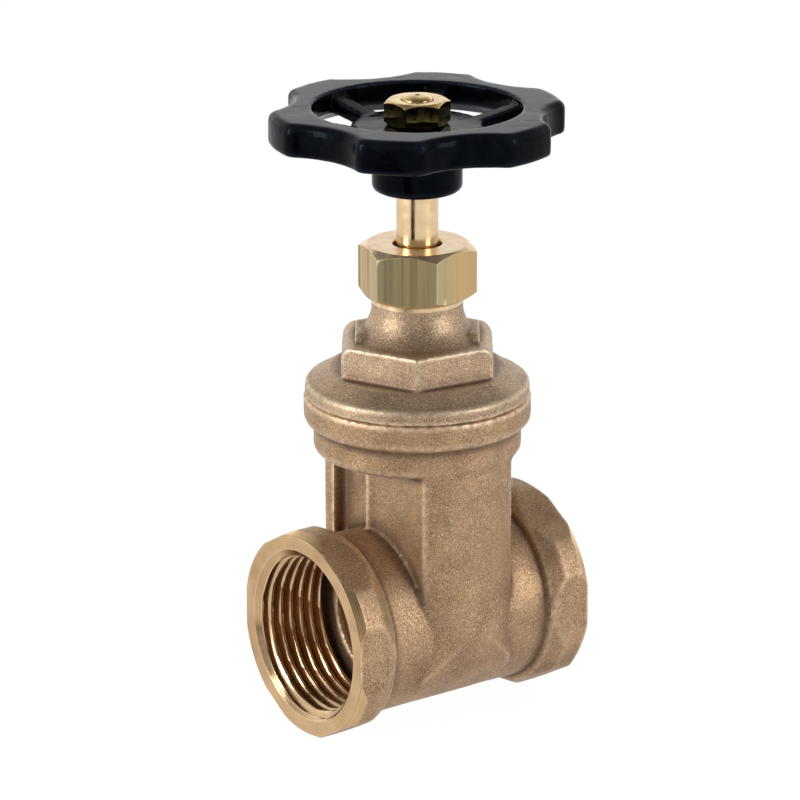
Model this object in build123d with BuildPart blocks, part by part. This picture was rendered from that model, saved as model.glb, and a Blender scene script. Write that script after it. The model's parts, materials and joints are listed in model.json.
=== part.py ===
"""A DN25 bronze gate valve with a non-rising stem, modelled piece by piece.

Frame: X is the pipe axis, Z is the stem axis, pointing up to the handwheel. The origin lies on the stem
axis, level with the lowest corner of the two hexagonal pipe ends. Lengths are in millimetres.
"""

import os
from math import cos, radians, tan

from build123d import *
from build123d.topology import SkipClean

os.makedirs("parts", exist_ok=True)

# ---- pipe ends ------------------------------------------------------------------------------------------
FACE_TO_FACE = 54.0
THREAD_MAJOR_D = 33.25  # G 1 parallel pipe thread
THREAD_MINOR_D = 30.29
THREAD_PITCH = 2.309
THREAD_TURNS = 6
THREAD_FLANK = 55.0  # included angle of the thread form, in degrees
THREAD_ROOT_FLAT = 0.16  # share of the pitch
THREAD_FOOT = 0.15  # the groove cutters start this far inside the crests
THREAD_LAND = 4.0  # degrees at the top of the bore where the ring grooves are filled, so the crests are one wall
MOUTH_DEPTH = 0.7
HEX_ACROSS_FLATS = 38.8
HEX_LENGTH = 8.7
HEX_TRIM_D = 41.2  # the hexagon's corners are turned down to this diameter
HEX_END_TRIM_D = 40.4  # and to this one at the machined end face
HEX_END_TRIM_DEPTH = 0.8
HEX_BACK_D = 37.8  # behind, the corners run down to this diameter
HEX_BACK_TRIM_DEPTH = 3.4  # over this length
NECK_D = 35.4
PASSAGE_D = 24.8
RELIEF_LENGTH = 1.8
RELIEF_D = THREAD_MAJOR_D + 0.3

# ---- flat middle of the body ----------------------------------------------------------------------------
BODY_THICKNESS = 20.8
BODY_WIDTH = 39.2  # its narrow sides are round, about the stem axis
BODY_FLOOR = 1.9  # wall under the wedge
BODY_EDGE_ROUND = 1.2
RIB_R = 0.75  # the half-round rib that stands down the middle of each broad side
RIB_OFFSET = 1.3  # towards +Y
POCKET_END = 13.3  # on the rib's +Y side each broad side is sunk as far as this
POCKET_DEPTH = 2.6

# ---- collars and bonnet joint, heights above the pipe axis ----------------------------------------------
LOWER_COLLAR_BOTTOM = 32.8
UPPER_COLLAR_BOTTOM = 38.6
JOINT_HEIGHT = 44.0
LOWER_COLLAR_D = 39.9
UPPER_COLLAR_D = 43.6
COLLAR_ROUND = 1.4
BONNET_THREAD_LENGTH = 7.5
GASKET_WIDTH = 2.0
GASKET_THICKNESS = 0.8

# ---- bonnet ---------------------------------------------------------------------------------------------
FLANGE_D = 43.0
FLANGE_RIM = 3.0
FLANGE_ROUND = 1.1
BONNET_HEX_BOTTOM = 49.2
HEX_LEDGE = 0.3  # flat width round the hexagon's corners
BONNET_HEX_TOP = 55.5
BONNET_HEX_ACROSS_FLATS = 28.8
SHOULDER_TOP = 57.2
SHOULDER_WIDTH = 13.4
SHOULDER_ROUND = 4.0
SHOULDER_TOP_ROUND = 3.3
NECK_FOOT_D = 25.0
NECK_WAIST_HEIGHT = 61.2
NECK_HOLLOW = 0.4  # how far the neck's curve is drawn in, and down, from a straight cone
NECK_SAG = 1.0
BONNET_NECK_D = 17.5
NECK_TOP_HEIGHT = 63.4
GLAND_THREAD_D = 16.0
GLAND_THREAD_LENGTH = 3.2
BONNET_WALL = 1.8  # from the bore to the crests of the bonnet's thread
BONNET_SIDE_ROOM = 1.2  # round the raised wedge
BONNET_HEAD_ROOM = 1.6  # above it
BONNET_TURN = 54.2  # degrees from +X to a corner of the bonnet hexagon

# ---- stem -----------------------------------------------------------------------------------------------
STEM_D = 8.0
STEM_CLEARANCE = 0.3  # on the radius, where the stem passes through a piece without being guided
STEM_FIT = 0.05  # on the radius, where the stem is guided
STEM_THREAD_D = 7.0
STEM_THREAD_PITCH = 1.5  # two starts, so the wedge moves 3 mm in a turn
STEM_RUNOUT = 1.0  # cone from the thread's root up to the plain stem
STEM_BOTTOM = 13.5
COLLAR_D = 11.8
COLLAR_THICKNESS = 3.0
BOX_D = 12.4
BOX_FLOOR = 54.5
BOX_FIT = 0.1  # on the radius, for the pieces stacked in the stuffing box
THRUST_WASHER_THICKNESS = 0.8
AXIAL_PLAY = 0.05
PACKING_RINGS = 3
PACKING_THICKNESS = 1.9
GLAND_FLANGE_D = 14.2
GLAND_FLANGE_THICKNESS = 2.0
GLAND_GAP = 1.6  # under the flange, left for tightening the packing

# ---- gland nut ------------------------------------------------------------------------------------------
GLAND_NUT_ACROSS_FLATS = 20.0
GLAND_NUT_HEIGHT = 10.3
GLAND_NUT_HOLE_D = 9.4
GLAND_NUT_TURN = 12.8
NUT_CHAMFER_ANGLE = 30.0
NUT_FACE_SHARE = 0.95  # a nut's round end face, as a share of its width across flats

# ---- wedge ----------------------------------------------------------------------------------------------
WEDGE_D = 28.0
WEDGE_THICKNESS = 10.8  # on the pipe axis
WEDGE_ANGLE = 3.0  # each face leans out by this many degrees towards the top
SEAT_D = 29.0
SEAT_SUNK = 0.5  # the seat rings run this far into the chamber's walls
SEAT_CLEARANCE = 0.03
WEDGE_LIFT = 27.0
WEDGE_BOSS_D = 11.4
WEDGE_BOSS_TOP = 22.5
WEDGE_BOSS_CLEARANCE = 0.75
WEDGE_LUG_THICKNESS = 4.8
WEDGE_LUG_OVERHANG = 2.0  # past the wedge's edge on each side
WEDGE_LUG_HEIGHT = 8.0  # from the pipe axis up
GUIDE_CLEARANCE = 0.4  # round each lug in its slot
WEDGE_SIDE_ROOM = 0.7
WEDGE_BOTTOM_ROOM = 1.0

# ---- handwheel ------------------------------------------------------------------------------------------
WHEEL_D = 56.4
WHEEL_LOBES = 6
WHEEL_TURN = -16.2
SCALLOP_R = 15.9
SCALLOP_DEPTH = 3.8
LOBE_ROUND = 2.4
RIM_BOTTOM = 93.9
RIM_TOP = 100.3
RIM_INNER_BOTTOM = 96.2  # the underside rises to this height at the rim's inner edge
RIM_SLOPE_WIDTH = 3.0
RIM_INNER_D = 39.6
RIM_EDGE_ROUND = 1.5
RIM_LOWER_ROUND = 0.75
HUB_D = 17.2
HUB_BOTTOM = 84.0
HUB_ROUND = 1.4
PLATE_D = 25.0
PLATE_BOTTOM = 93.4
PLATE_TOP = 96.8
SPOKE_WIDTH = 4.0
SPOKE_RIM_TOP = 99.2
SPOKE_ROOT = 1.0  # each spoke runs this far into the rim and the plate
SQUARE_SIZE = 6.2
SQUARE_SHOULDER = 88.4
SQUARE_CLEARANCE = 0.05

# ---- handwheel nut --------------------------------------------------------------------------------------
STUD_D = 6.0
WHEEL_NUT_ACROSS_FLATS = 11.0
WHEEL_NUT_HEIGHT = 4.8
WHEEL_NUT_TURN = 32.9
STUD_TOP = 102.4
STUD_PITCH = 1.0
STUD_TIP = 1.2
STUD_TIP_SLACK = 0.1  # on the radius
STUD_SUNK = 0.4  # the stud's thread starts this far inside the wheel's plate

# ---- fine threads, made as rings ------------------------------------------------------------------------
FINE_PITCH = 1.5
FINE_DEPTH = 0.61  # of the pitch
FINE_FLAT = 0.06  # half the flat at crest and root, as a share of the pitch
THREAD_FIT = 0.05  # on the radius, between a thread and the plain bore that stands in for its nut

CUT_MARGIN = 1.0  # a cutter reaches this far past what it cuts

PIPE_Z = HEX_TRIM_D / 2  # height of the pipe axis above the origin

# ---- sizes that follow from the wedge -------------------------------------------------------------------
cavity_thickness = WEDGE_BOSS_D + 2 * WEDGE_BOSS_CLEARANCE
cavity_width = WEDGE_D + 2 * WEDGE_SIDE_ROOM
cavity_bottom_depth = WEDGE_D / 2 + WEDGE_BOTTOM_ROOM
lug_width = WEDGE_D + 2 * WEDGE_LUG_OVERHANG
slot_width = lug_width + 2 * GUIDE_CLEARANCE
slot_thickness = WEDGE_LUG_THICKNESS + 2 * GUIDE_CLEARANCE
bonnet_bore_d = WEDGE_D + 2 * BONNET_SIDE_ROOM
bonnet_thread_d = bonnet_bore_d + 2 * BONNET_WALL
gasket_d = bonnet_thread_d + 2 * GASKET_WIDTH


def above_pipe(height):
    """Turn a height above the pipe axis into a height in the part's frame."""
    return PIPE_Z + height


def hexagon_radius(across_flats):
    """Radius of a hexagon's corners."""
    return across_flats / 2 / cos(radians(30))


def chamfered_hexagon(across_flats, bottom, top, turn):
    """Make a nut's outside: a hexagon with its corners turned off at both ends."""
    corner = hexagon_radius(across_flats)
    face = across_flats / 2 * NUT_FACE_SHARE
    drop = (corner - face) * tan(radians(NUT_CHAMFER_ANGLE))
    with BuildPart() as hexagon:
        with BuildSketch(Plane.XY.offset(bottom)):
            RegularPolygon(radius=corner, side_count=6, rotation=turn)
        extrude(amount=top - bottom)
        with BuildSketch(Plane.XZ):
            with BuildLine():
                Polyline(
                    (0, bottom),
                    (face, bottom),
                    (corner, bottom + drop),
                    (corner, top - drop),
                    (face, top),
                    (0, top),
                    close=True,
                )
            make_face()
        revolve(axis=Axis.Z, mode=Mode.INTERSECT)
    return hexagon.part


def thread_crests(major_d, pitch, start, end):
    """Outline points, from start to end, of an outside thread made of rings."""
    turns = int((end - start) / pitch)
    depth = pitch * FINE_DEPTH
    points = [(major_d / 2 - depth, start)]
    for turn in range(turns):
        low = start + turn * pitch
        points.append((major_d / 2 - depth, low + pitch * FINE_FLAT))
        points.append((major_d / 2, low + pitch * (0.5 - FINE_FLAT)))
        points.append((major_d / 2, low + pitch * (0.5 + FINE_FLAT)))
        points.append((major_d / 2 - depth, low + pitch * (1 - FINE_FLAT)))
    return points


def ring(name, outer_d, inner_d, bottom, thickness):
    """Make a plain flat ring about the stem axis and write it."""
    with BuildPart() as piece:
        with BuildSketch(Plane.XY.offset(bottom)):
            Circle(outer_d / 2)
            Circle(inner_d / 2, mode=Mode.SUBTRACT)
        extrude(amount=thickness)
    piece.part.label = name
    export_step(piece.part, f"parts/{name}.step")


# ---- body -----------------------------------------------------------------------------------------------
half_face = FACE_TO_FACE / 2
minor_r = THREAD_MINOR_D / 2
major_r = THREAD_MAJOR_D / 2
relief_start = half_face - MOUTH_DEPTH - THREAD_TURNS * THREAD_PITCH
relief_end = relief_start - RELIEF_LENGTH
lower_z = above_pipe(LOWER_COLLAR_BOTTOM)
upper_z = above_pipe(UPPER_COLLAR_BOTTOM)
joint_z = above_pipe(JOINT_HEIGHT)
spigot_z = joint_z - BONNET_THREAD_LENGTH
wedge_slope = tan(radians(WEDGE_ANGLE))


def flat_outline(width, bottom_depth, top):
    """Draw the body's outline across the pipe: straight sides on a round bottom."""
    with BuildSketch() as outline:
        with BuildLine():
            floor = ThreePointArc((-width / 2, PIPE_Z), (0, PIPE_Z - bottom_depth), (width / 2, PIPE_Z))
            Polyline(floor @ 1, (width / 2, top), (-width / 2, top), floor @ 0)
        make_face()
    return outline.sketch


def taper(thickness, bottom, top, width):
    """Make the block between the two leaning faces of the wedge."""
    low = thickness / 2 + (bottom - PIPE_Z) * wedge_slope
    high = thickness / 2 + (top - PIPE_Z) * wedge_slope
    with BuildPart() as block:
        with BuildSketch(Plane.XZ):
            with BuildLine():
                Polyline((-low, bottom), (low, bottom), (high, top), (-high, top), close=True)
            make_face()
        extrude(amount=width / 2, both=True)
    return block.part


def hex_end(side):
    """Make one hexagonal pipe end with its corners turned down towards the face."""
    with BuildPart() as end:
        with BuildSketch(Plane.YZ.offset(side * half_face)):
            with Locations((0, PIPE_Z)):
                RegularPolygon(radius=hexagon_radius(HEX_ACROSS_FLATS), side_count=6, rotation=90)
        extrude(amount=-side * HEX_LENGTH)
        with BuildSketch(Plane.XZ):
            with BuildLine():
                Polyline(
                    (side * half_face, PIPE_Z),
                    (side * half_face, PIPE_Z + HEX_END_TRIM_D / 2),
                    (side * (half_face - HEX_END_TRIM_DEPTH), PIPE_Z + HEX_TRIM_D / 2),
                    (side * (half_face - HEX_LENGTH + HEX_BACK_TRIM_DEPTH), PIPE_Z + HEX_TRIM_D / 2),
                    (side * (half_face - HEX_LENGTH), PIPE_Z + HEX_BACK_D / 2),
                    (side * (half_face - HEX_LENGTH), PIPE_Z),
                    close=True,
                )
            make_face()
        revolve(axis=pipe_axis, mode=Mode.INTERSECT)
    return end.part


def plain_bore(side):
    """Make the space inside one pipe end up to the thread's crests: mouth, relief and passage."""
    points = [
        (0, 0),
        (0, PASSAGE_D / 2),
        (relief_end, PASSAGE_D / 2),
        (relief_end, RELIEF_D / 2),
        (relief_start, RELIEF_D / 2),
        (relief_start, minor_r),
        (half_face - MOUTH_DEPTH, minor_r),
        (half_face, major_r),
        (half_face, 0),
    ]
    with BuildPart() as bore:
        with BuildSketch(Plane.XZ):
            with BuildLine():
                Polyline(*[(side * x, PIPE_Z + r) for x, r in points], close=True)
            make_face()
        revolve(axis=pipe_axis)
    return bore.part


def thread_grooves(side):
    """Make the V grooves of one pipe end's thread, as rings."""
    slope = tan(radians(THREAD_FLANK / 2))
    root_half = THREAD_PITCH * THREAD_ROOT_FLAT / 2
    foot_r = minor_r - THREAD_FOOT
    foot_half = root_half + (major_r - foot_r) * slope
    with BuildPart() as grooves:
        with BuildSketch(Plane.XZ):
            for turn in range(THREAD_TURNS):
                middle = relief_start + (turn + 0.5) * THREAD_PITCH
                points = [
                    (middle - foot_half, foot_r),
                    (middle - root_half, major_r),
                    (middle + root_half, major_r),
                    (middle + foot_half, foot_r),
                ]
                with BuildLine():
                    Polyline(*[(side * x, PIPE_Z + r) for x, r in points], close=True)
                make_face()
        revolve(axis=pipe_axis)
    return grooves.part


def thread_land(side):
    """Make the narrow bar that fills one pipe end's grooves at the top of the bore."""
    length = THREAD_TURNS * THREAD_PITCH
    with BuildPart() as land:
        with BuildSketch(Plane.XZ):
            with Locations((side * (relief_start + length / 2), PIPE_Z + minor_r)):
                Rectangle(length, RELIEF_D / 2 - minor_r, align=(Align.CENTER, Align.MIN))
        revolve(axis=pipe_axis, revolution_arc=THREAD_LAND)
    return land.part.rotate(pipe_axis, -THREAD_LAND / 2)


def seat_rings():
    """Make the two seat rings, faced to the wedge's slope."""
    with BuildPart() as seats:
        with BuildSketch(Plane.YZ):
            with Locations((0, PIPE_Z)):
                Circle(SEAT_D / 2)
                Circle(PASSAGE_D / 2, mode=Mode.SUBTRACT)
        extrude(amount=cavity_thickness / 2 + SEAT_SUNK, both=True)
        reach = SEAT_D / 2 + CUT_MARGIN
        add(
            taper(WEDGE_THICKNESS + 2 * SEAT_CLEARANCE, PIPE_Z - reach, PIPE_Z + reach, 2 * reach),
            mode=Mode.SUBTRACT,
        )
    return seats.part


pipe_axis = Axis((0, 0, PIPE_Z), (1, 0, 0))

with BuildPart() as valve_body:
    # flat middle with round narrow sides and a round bottom
    with BuildSketch(Plane.XY) as plan:
        Circle(BODY_WIDTH / 2)
        Rectangle(BODY_THICKNESS, BODY_WIDTH, mode=Mode.INTERSECT)
        fillet(plan.vertices(), BODY_EDGE_ROUND)
    extrude(amount=upper_z)
    with BuildSketch(Plane.YZ):
        add(flat_outline(BODY_WIDTH, cavity_bottom_depth + BODY_FLOOR, upper_z))
    extrude(amount=BODY_THICKNESS, both=True, mode=Mode.INTERSECT)
    # each broad side is sunk on one side of its rib
    with BuildSketch(Plane.XY.offset(PIPE_Z)):
        for side in (-1, 1):
            with Locations((side * BODY_THICKNESS / 2, (RIB_OFFSET + POCKET_END) / 2)):
                Rectangle(2 * POCKET_DEPTH, POCKET_END - RIB_OFFSET)
    extrude(amount=lower_z - PIPE_Z, mode=Mode.SUBTRACT)
    with BuildSketch(Plane.XY.offset(PIPE_Z)):
        for side in (-1, 1):
            with Locations((side * (BODY_THICKNESS - POCKET_DEPTH) / 2, RIB_OFFSET)):
                Rectangle(POCKET_DEPTH, 2 * RIB_R)
            with Locations((side * BODY_THICKNESS / 2, RIB_OFFSET)):
                Circle(RIB_R)
    extrude(amount=lower_z - PIPE_Z)
    # round necks and hexagons
    with BuildSketch(Plane.YZ):
        with Locations((0, PIPE_Z)):
            Circle(NECK_D / 2)
    extrude(amount=half_face - HEX_LENGTH, both=True)
    for side in (-1, 1):
        add(hex_end(side))
    # the two collars, rounded underneath
    with BuildSketch(Plane.XZ):
        with BuildLine():
            Polyline((0, joint_z), (0, lower_z), (LOWER_COLLAR_D / 2 - COLLAR_ROUND, lower_z))
            RadiusArc(
                (LOWER_COLLAR_D / 2 - COLLAR_ROUND, lower_z),
                (LOWER_COLLAR_D / 2, lower_z + COLLAR_ROUND),
                -COLLAR_ROUND,
            )
            Polyline(
                (LOWER_COLLAR_D / 2, lower_z + COLLAR_ROUND),
                (LOWER_COLLAR_D / 2, upper_z),
                (UPPER_COLLAR_D / 2 - COLLAR_ROUND, upper_z),
            )
            RadiusArc(
                (UPPER_COLLAR_D / 2 - COLLAR_ROUND, upper_z),
                (UPPER_COLLAR_D / 2, upper_z + COLLAR_ROUND),
                -COLLAR_ROUND,
            )
            Polyline(
                (UPPER_COLLAR_D / 2, upper_z + COLLAR_ROUND),
                (UPPER_COLLAR_D / 2, joint_z),
                (0, joint_z),
            )
        make_face()
    revolve(axis=Axis.Z)
    # wedge chamber with its guide slots
    with BuildSketch(Plane.YZ):
        add(flat_outline(cavity_width, cavity_bottom_depth, joint_z))
    extrude(amount=cavity_thickness / 2, both=True, mode=Mode.SUBTRACT)
    with BuildSketch(Plane.YZ):
        add(flat_outline(slot_width, cavity_bottom_depth, joint_z))
    extrude(amount=slot_thickness / 2, both=True, mode=Mode.SUBTRACT)
    # mouth for the bonnet's thread, and the gasket's recess
    with BuildSketch(Plane.XY.offset(spigot_z)):
        Circle(bonnet_thread_d / 2 + THREAD_FIT)
    extrude(amount=BONNET_THREAD_LENGTH, mode=Mode.SUBTRACT)
    with BuildSketch(Plane.XY.offset(joint_z - GASKET_THICKNESS)):
        Circle(gasket_d / 2 + THREAD_FIT)
    extrude(amount=GASKET_THICKNESS, mode=Mode.SUBTRACT)
    # seats and bores
    add(seat_rings())
    for side in (-1, 1):
        add(plain_bore(side), mode=Mode.SUBTRACT)
        add(thread_grooves(side), mode=Mode.SUBTRACT)
    # each crest stays a face of its own: joined into one, they make a comb that meshes badly
    with SkipClean():
        for side in (-1, 1):
            add(thread_land(side))

valve_body.part.label = "valve_body"
export_step(valve_body.part, "parts/valve_body.step")

# ---- bonnet gasket --------------------------------------------------------------------------------------
ring(
    "bonnet_gasket",
    gasket_d,
    bonnet_thread_d + 2 * THREAD_FIT,
    joint_z - GASKET_THICKNESS,
    GASKET_THICKNESS,
)

# ---- bonnet ---------------------------------------------------------------------------------------------
hex_bottom_z = above_pipe(BONNET_HEX_BOTTOM)
hex_top_z = above_pipe(BONNET_HEX_TOP)
shoulder_z = above_pipe(SHOULDER_TOP)
waist_z = above_pipe(NECK_WAIST_HEIGHT)
neck_top_z = above_pipe(NECK_TOP_HEIGHT)
box_top_z = neck_top_z + GLAND_THREAD_LENGTH
box_floor_z = above_pipe(BOX_FLOOR)
bore_top_z = above_pipe(WEDGE_D / 2 + WEDGE_LIFT + BONNET_HEAD_ROOM)
boss_room_r = WEDGE_BOSS_D / 2 + WEDGE_BOSS_CLEARANCE
boss_room_z = above_pipe(WEDGE_BOSS_TOP) + WEDGE_LIFT + WEDGE_BOSS_CLEARANCE
bonnet_hex_side = hexagon_radius(BONNET_HEX_ACROSS_FLATS)

with BuildPart() as bonnet:
    # shoulders: two round-topped lugs that stand over one pair of flats
    with BuildSketch(Plane.XY.offset(hex_bottom_z)):
        Rectangle(BONNET_HEX_ACROSS_FLATS, SHOULDER_WIDTH, rotation=BONNET_TURN + 90)
    extrude(amount=shoulder_z - hex_bottom_z)
    fillet(bonnet.edges().filter_by(Axis.Z), SHOULDER_ROUND)
    fillet(bonnet.faces().sort_by(Axis.Z)[-1].edges(), SHOULDER_TOP_ROUND)
    # hexagon
    with BuildSketch(Plane.XY.offset(joint_z)):
        RegularPolygon(radius=bonnet_hex_side, side_count=6, rotation=BONNET_TURN)
    extrude(amount=hex_top_z - joint_z)
    # screwed spigot, flange and neck
    flange_r = FLANGE_D / 2
    rim_top_z = joint_z + FLANGE_RIM
    spigot_r = bonnet_thread_d / 2
    with BuildSketch(Plane.XZ):
        with BuildLine():
            Polyline(
                (0, spigot_z),
                *thread_crests(bonnet_thread_d, FINE_PITCH, spigot_z, joint_z - GASKET_THICKNESS),
                (spigot_r, joint_z - GASKET_THICKNESS),
                (spigot_r, joint_z),
                (flange_r, joint_z),
                (flange_r, rim_top_z - FLANGE_ROUND),
            )
            RadiusArc((flange_r, rim_top_z - FLANGE_ROUND), (flange_r - FLANGE_ROUND, rim_top_z), -FLANGE_ROUND)
            Polyline(
                (flange_r - FLANGE_ROUND, rim_top_z),
                (bonnet_hex_side + HEX_LEDGE, hex_bottom_z),
                (NECK_FOOT_D / 2, hex_bottom_z),
                (NECK_FOOT_D / 2, hex_top_z),
            )
            ThreePointArc(
                (NECK_FOOT_D / 2, hex_top_z),
                (
                    (NECK_FOOT_D + 2 * BONNET_NECK_D) / 6 - NECK_HOLLOW,
                    (hex_top_z + 2 * waist_z) / 3 - NECK_SAG,
                ),
                (BONNET_NECK_D / 2, waist_z),
            )
            Polyline(
                (BONNET_NECK_D / 2, waist_z),
                (BONNET_NECK_D / 2, neck_top_z),
                *thread_crests(GLAND_THREAD_D, FINE_PITCH, neck_top_z, box_top_z),
                (GLAND_THREAD_D / 2 - FINE_PITCH * FINE_DEPTH, box_top_z),
                (0, box_top_z),
                (0, spigot_z),
            )
        make_face()
    revolve(axis=Axis.Z)
    # room for the raised wedge, the stem hole and the stuffing box
    with BuildSketch(Plane.XZ):
        with BuildLine():
            Polyline(
                (0, spigot_z),
                (bonnet_bore_d / 2, spigot_z),
                (bonnet_bore_d / 2, bore_top_z),
                (boss_room_r, bore_top_z + (bonnet_bore_d / 2 - boss_room_r) / 2),
                (boss_room_r, boss_room_z),
                (STEM_D / 2 + STEM_FIT, boss_room_z),
                (STEM_D / 2 + STEM_FIT, box_floor_z),
                (BOX_D / 2, box_floor_z),
                (BOX_D / 2, box_top_z),
                (0, box_top_z),
                close=True,
            )
        make_face()
    revolve(axis=Axis.Z, mode=Mode.SUBTRACT)

bonnet.part.label = "bonnet"
export_step(bonnet.part, "parts/bonnet.step")

# ---- wedge ----------------------------------------------------------------------------------------------
boss_start_z = PIPE_Z + SEAT_D / 2 + WEDGE_BOSS_CLEARANCE
boss_top_z = above_pipe(WEDGE_BOSS_TOP)

with BuildPart() as wedge:
    with BuildSketch(Plane.YZ):
        with Locations((0, PIPE_Z)):
            Circle(WEDGE_D / 2)
    extrude(amount=WEDGE_D / 2, both=True)
    with BuildSketch(Plane.XY.offset(PIPE_Z)):
        Circle(WEDGE_BOSS_D / 2)
    extrude(amount=boss_start_z - PIPE_Z)
    add(
        taper(WEDGE_THICKNESS, PIPE_Z - WEDGE_D, boss_start_z, 2 * WEDGE_D),
        mode=Mode.INTERSECT,
    )
    with BuildSketch(Plane.XY.offset(boss_start_z)):
        Circle(WEDGE_BOSS_D / 2)
    extrude(amount=boss_top_z - boss_start_z)
    # lugs that run in the body's guide slots
    with BuildSketch(Plane.YZ):
        with Locations((0, PIPE_Z)):
            Rectangle(lug_width, WEDGE_LUG_HEIGHT, align=(Align.CENTER, Align.MIN))
    extrude(amount=WEDGE_LUG_THICKNESS / 2, both=True)
    # hole that the stem runs in
    with BuildSketch(Plane.XY.offset(PIPE_Z - WEDGE_D / 2)):
        Circle(STEM_THREAD_D / 2 + THREAD_FIT)
    extrude(amount=boss_top_z - PIPE_Z + WEDGE_D / 2, mode=Mode.SUBTRACT)

wedge.part.label = "wedge"
export_step(wedge.part, "parts/wedge.step")

# ---- stuffing box, from its floor up --------------------------------------------------------------------
collar_z = box_floor_z + THRUST_WASHER_THICKNESS + AXIAL_PLAY
upper_washer_z = collar_z + COLLAR_THICKNESS + AXIAL_PLAY
packing_z = upper_washer_z + THRUST_WASHER_THICKNESS
gland_z = packing_z + PACKING_RINGS * PACKING_THICKNESS
boxed_d = BOX_D - 2 * BOX_FIT
stem_hole_d = STEM_D + 2 * STEM_FIT

ring("lower_thrust_washer", boxed_d, stem_hole_d, box_floor_z, THRUST_WASHER_THICKNESS)
ring("upper_thrust_washer", boxed_d, stem_hole_d, upper_washer_z, THRUST_WASHER_THICKNESS)
for number in range(PACKING_RINGS):
    ring(
        f"packing_ring_{number + 1}",
        boxed_d,
        stem_hole_d,
        packing_z + number * PACKING_THICKNESS,
        PACKING_THICKNESS,
    )

gland_flange_z = box_top_z + GLAND_GAP
gland_top_z = gland_flange_z + GLAND_FLANGE_THICKNESS

with BuildPart() as gland_follower:
    with BuildSketch(Plane.XY.offset(gland_z)):
        Circle(boxed_d / 2)
    extrude(amount=gland_flange_z - gland_z)
    with BuildSketch(Plane.XY.offset(gland_flange_z)):
        Circle(GLAND_FLANGE_D / 2)
    extrude(amount=GLAND_FLANGE_THICKNESS)
    with BuildSketch(Plane.XY.offset(gland_z)):
        Circle(STEM_D / 2 + STEM_CLEARANCE)
    extrude(amount=gland_top_z - gland_z, mode=Mode.SUBTRACT)

gland_follower.part.label = "gland_follower"
export_step(gland_follower.part, "parts/gland_follower.step")

# ---- gland nut ------------------------------------------------------------------------------------------
nut_bottom_z = neck_top_z
nut_top_z = nut_bottom_z + GLAND_NUT_HEIGHT

with BuildPart() as gland_nut:
    add(chamfered_hexagon(GLAND_NUT_ACROSS_FLATS, nut_bottom_z, nut_top_z, GLAND_NUT_TURN))
    with BuildSketch(Plane.XY.offset(nut_bottom_z)):
        Circle(GLAND_THREAD_D / 2 + THREAD_FIT)
    extrude(amount=gland_top_z - nut_bottom_z, mode=Mode.SUBTRACT)
    with BuildSketch(Plane.XY.offset(gland_top_z)):
        Circle(GLAND_NUT_HOLE_D / 2)
    extrude(amount=nut_top_z - gland_top_z, mode=Mode.SUBTRACT)

gland_nut.part.label = "gland_nut"
export_step(gland_nut.part, "parts/gland_nut.step")

# ---- stem -----------------------------------------------------------------------------------------------
stem_bottom_z = above_pipe(STEM_BOTTOM)
thread_top_z = above_pipe(WEDGE_BOSS_TOP) + WEDGE_LIFT + WEDGE_BOSS_CLEARANCE
square_z = above_pipe(SQUARE_SHOULDER)
plate_bottom_z = above_pipe(PLATE_BOTTOM)
plate_top_z = above_pipe(PLATE_TOP)
stud_top_z = above_pipe(STUD_TOP)
stud_r = STUD_D / 2
stud_start_z = plate_top_z - STUD_SUNK

with BuildPart() as stem:
    with BuildSketch(Plane.XZ):
        with BuildLine():
            Polyline(
                (0, stem_bottom_z),
                *thread_crests(STEM_THREAD_D, STEM_THREAD_PITCH, stem_bottom_z, thread_top_z),
                (STEM_THREAD_D / 2 - STEM_THREAD_PITCH * FINE_DEPTH, thread_top_z),
                (STEM_D / 2, thread_top_z + STEM_RUNOUT),
                (STEM_D / 2, collar_z),
                (COLLAR_D / 2, collar_z),
                (COLLAR_D / 2, collar_z + COLLAR_THICKNESS),
                (STEM_D / 2, collar_z + COLLAR_THICKNESS),
                (STEM_D / 2, stud_start_z),
                *thread_crests(STUD_D, STUD_PITCH, stud_start_z, stud_top_z - STUD_TIP),
                (stud_r - STUD_PITCH * FINE_DEPTH, stud_top_z - STUD_TIP),
                (stud_r - STUD_TIP_SLACK, stud_top_z - STUD_TIP + 2 * STUD_TIP_SLACK),
                (stud_r - STUD_TIP_SLACK, stud_top_z - STUD_TIP / 2),
                (stud_r - STUD_TIP / 2, stud_top_z),
                (0, stud_top_z),
                close=True,
            )
        make_face()
    revolve(axis=Axis.Z)
    # four flats for the handwheel's square hole
    with BuildSketch(Plane.XY.offset(square_z)):
        Circle(STEM_D / 2 + CUT_MARGIN)
        Rectangle(SQUARE_SIZE, SQUARE_SIZE, rotation=WHEEL_TURN, mode=Mode.SUBTRACT)
    extrude(amount=stud_start_z - square_z, mode=Mode.SUBTRACT)

stem.part.label = "stem"
export_step(stem.part, "parts/stem.step")

# ---- handwheel ------------------------------------------------------------------------------------------
rim_bottom_z = above_pipe(RIM_BOTTOM)
rim_top_z = above_pipe(RIM_TOP)
rim_inner_bottom_z = above_pipe(RIM_INNER_BOTTOM)
hub_bottom_z = above_pipe(HUB_BOTTOM)
lobe_step = 360 / WHEEL_LOBES

with BuildPart() as spoke:
    with BuildSketch(Plane.XZ):
        with BuildLine():
            Polyline(
                (HUB_D / 2, plate_bottom_z),
                (RIM_INNER_D / 2 + SPOKE_ROOT, rim_inner_bottom_z),
                (RIM_INNER_D / 2 + SPOKE_ROOT, above_pipe(SPOKE_RIM_TOP)),
                (PLATE_D / 2 - SPOKE_ROOT, plate_top_z),
                (HUB_D / 2, plate_top_z),
                close=True,
            )
        make_face()
    extrude(amount=SPOKE_WIDTH / 2, both=True)

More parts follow.
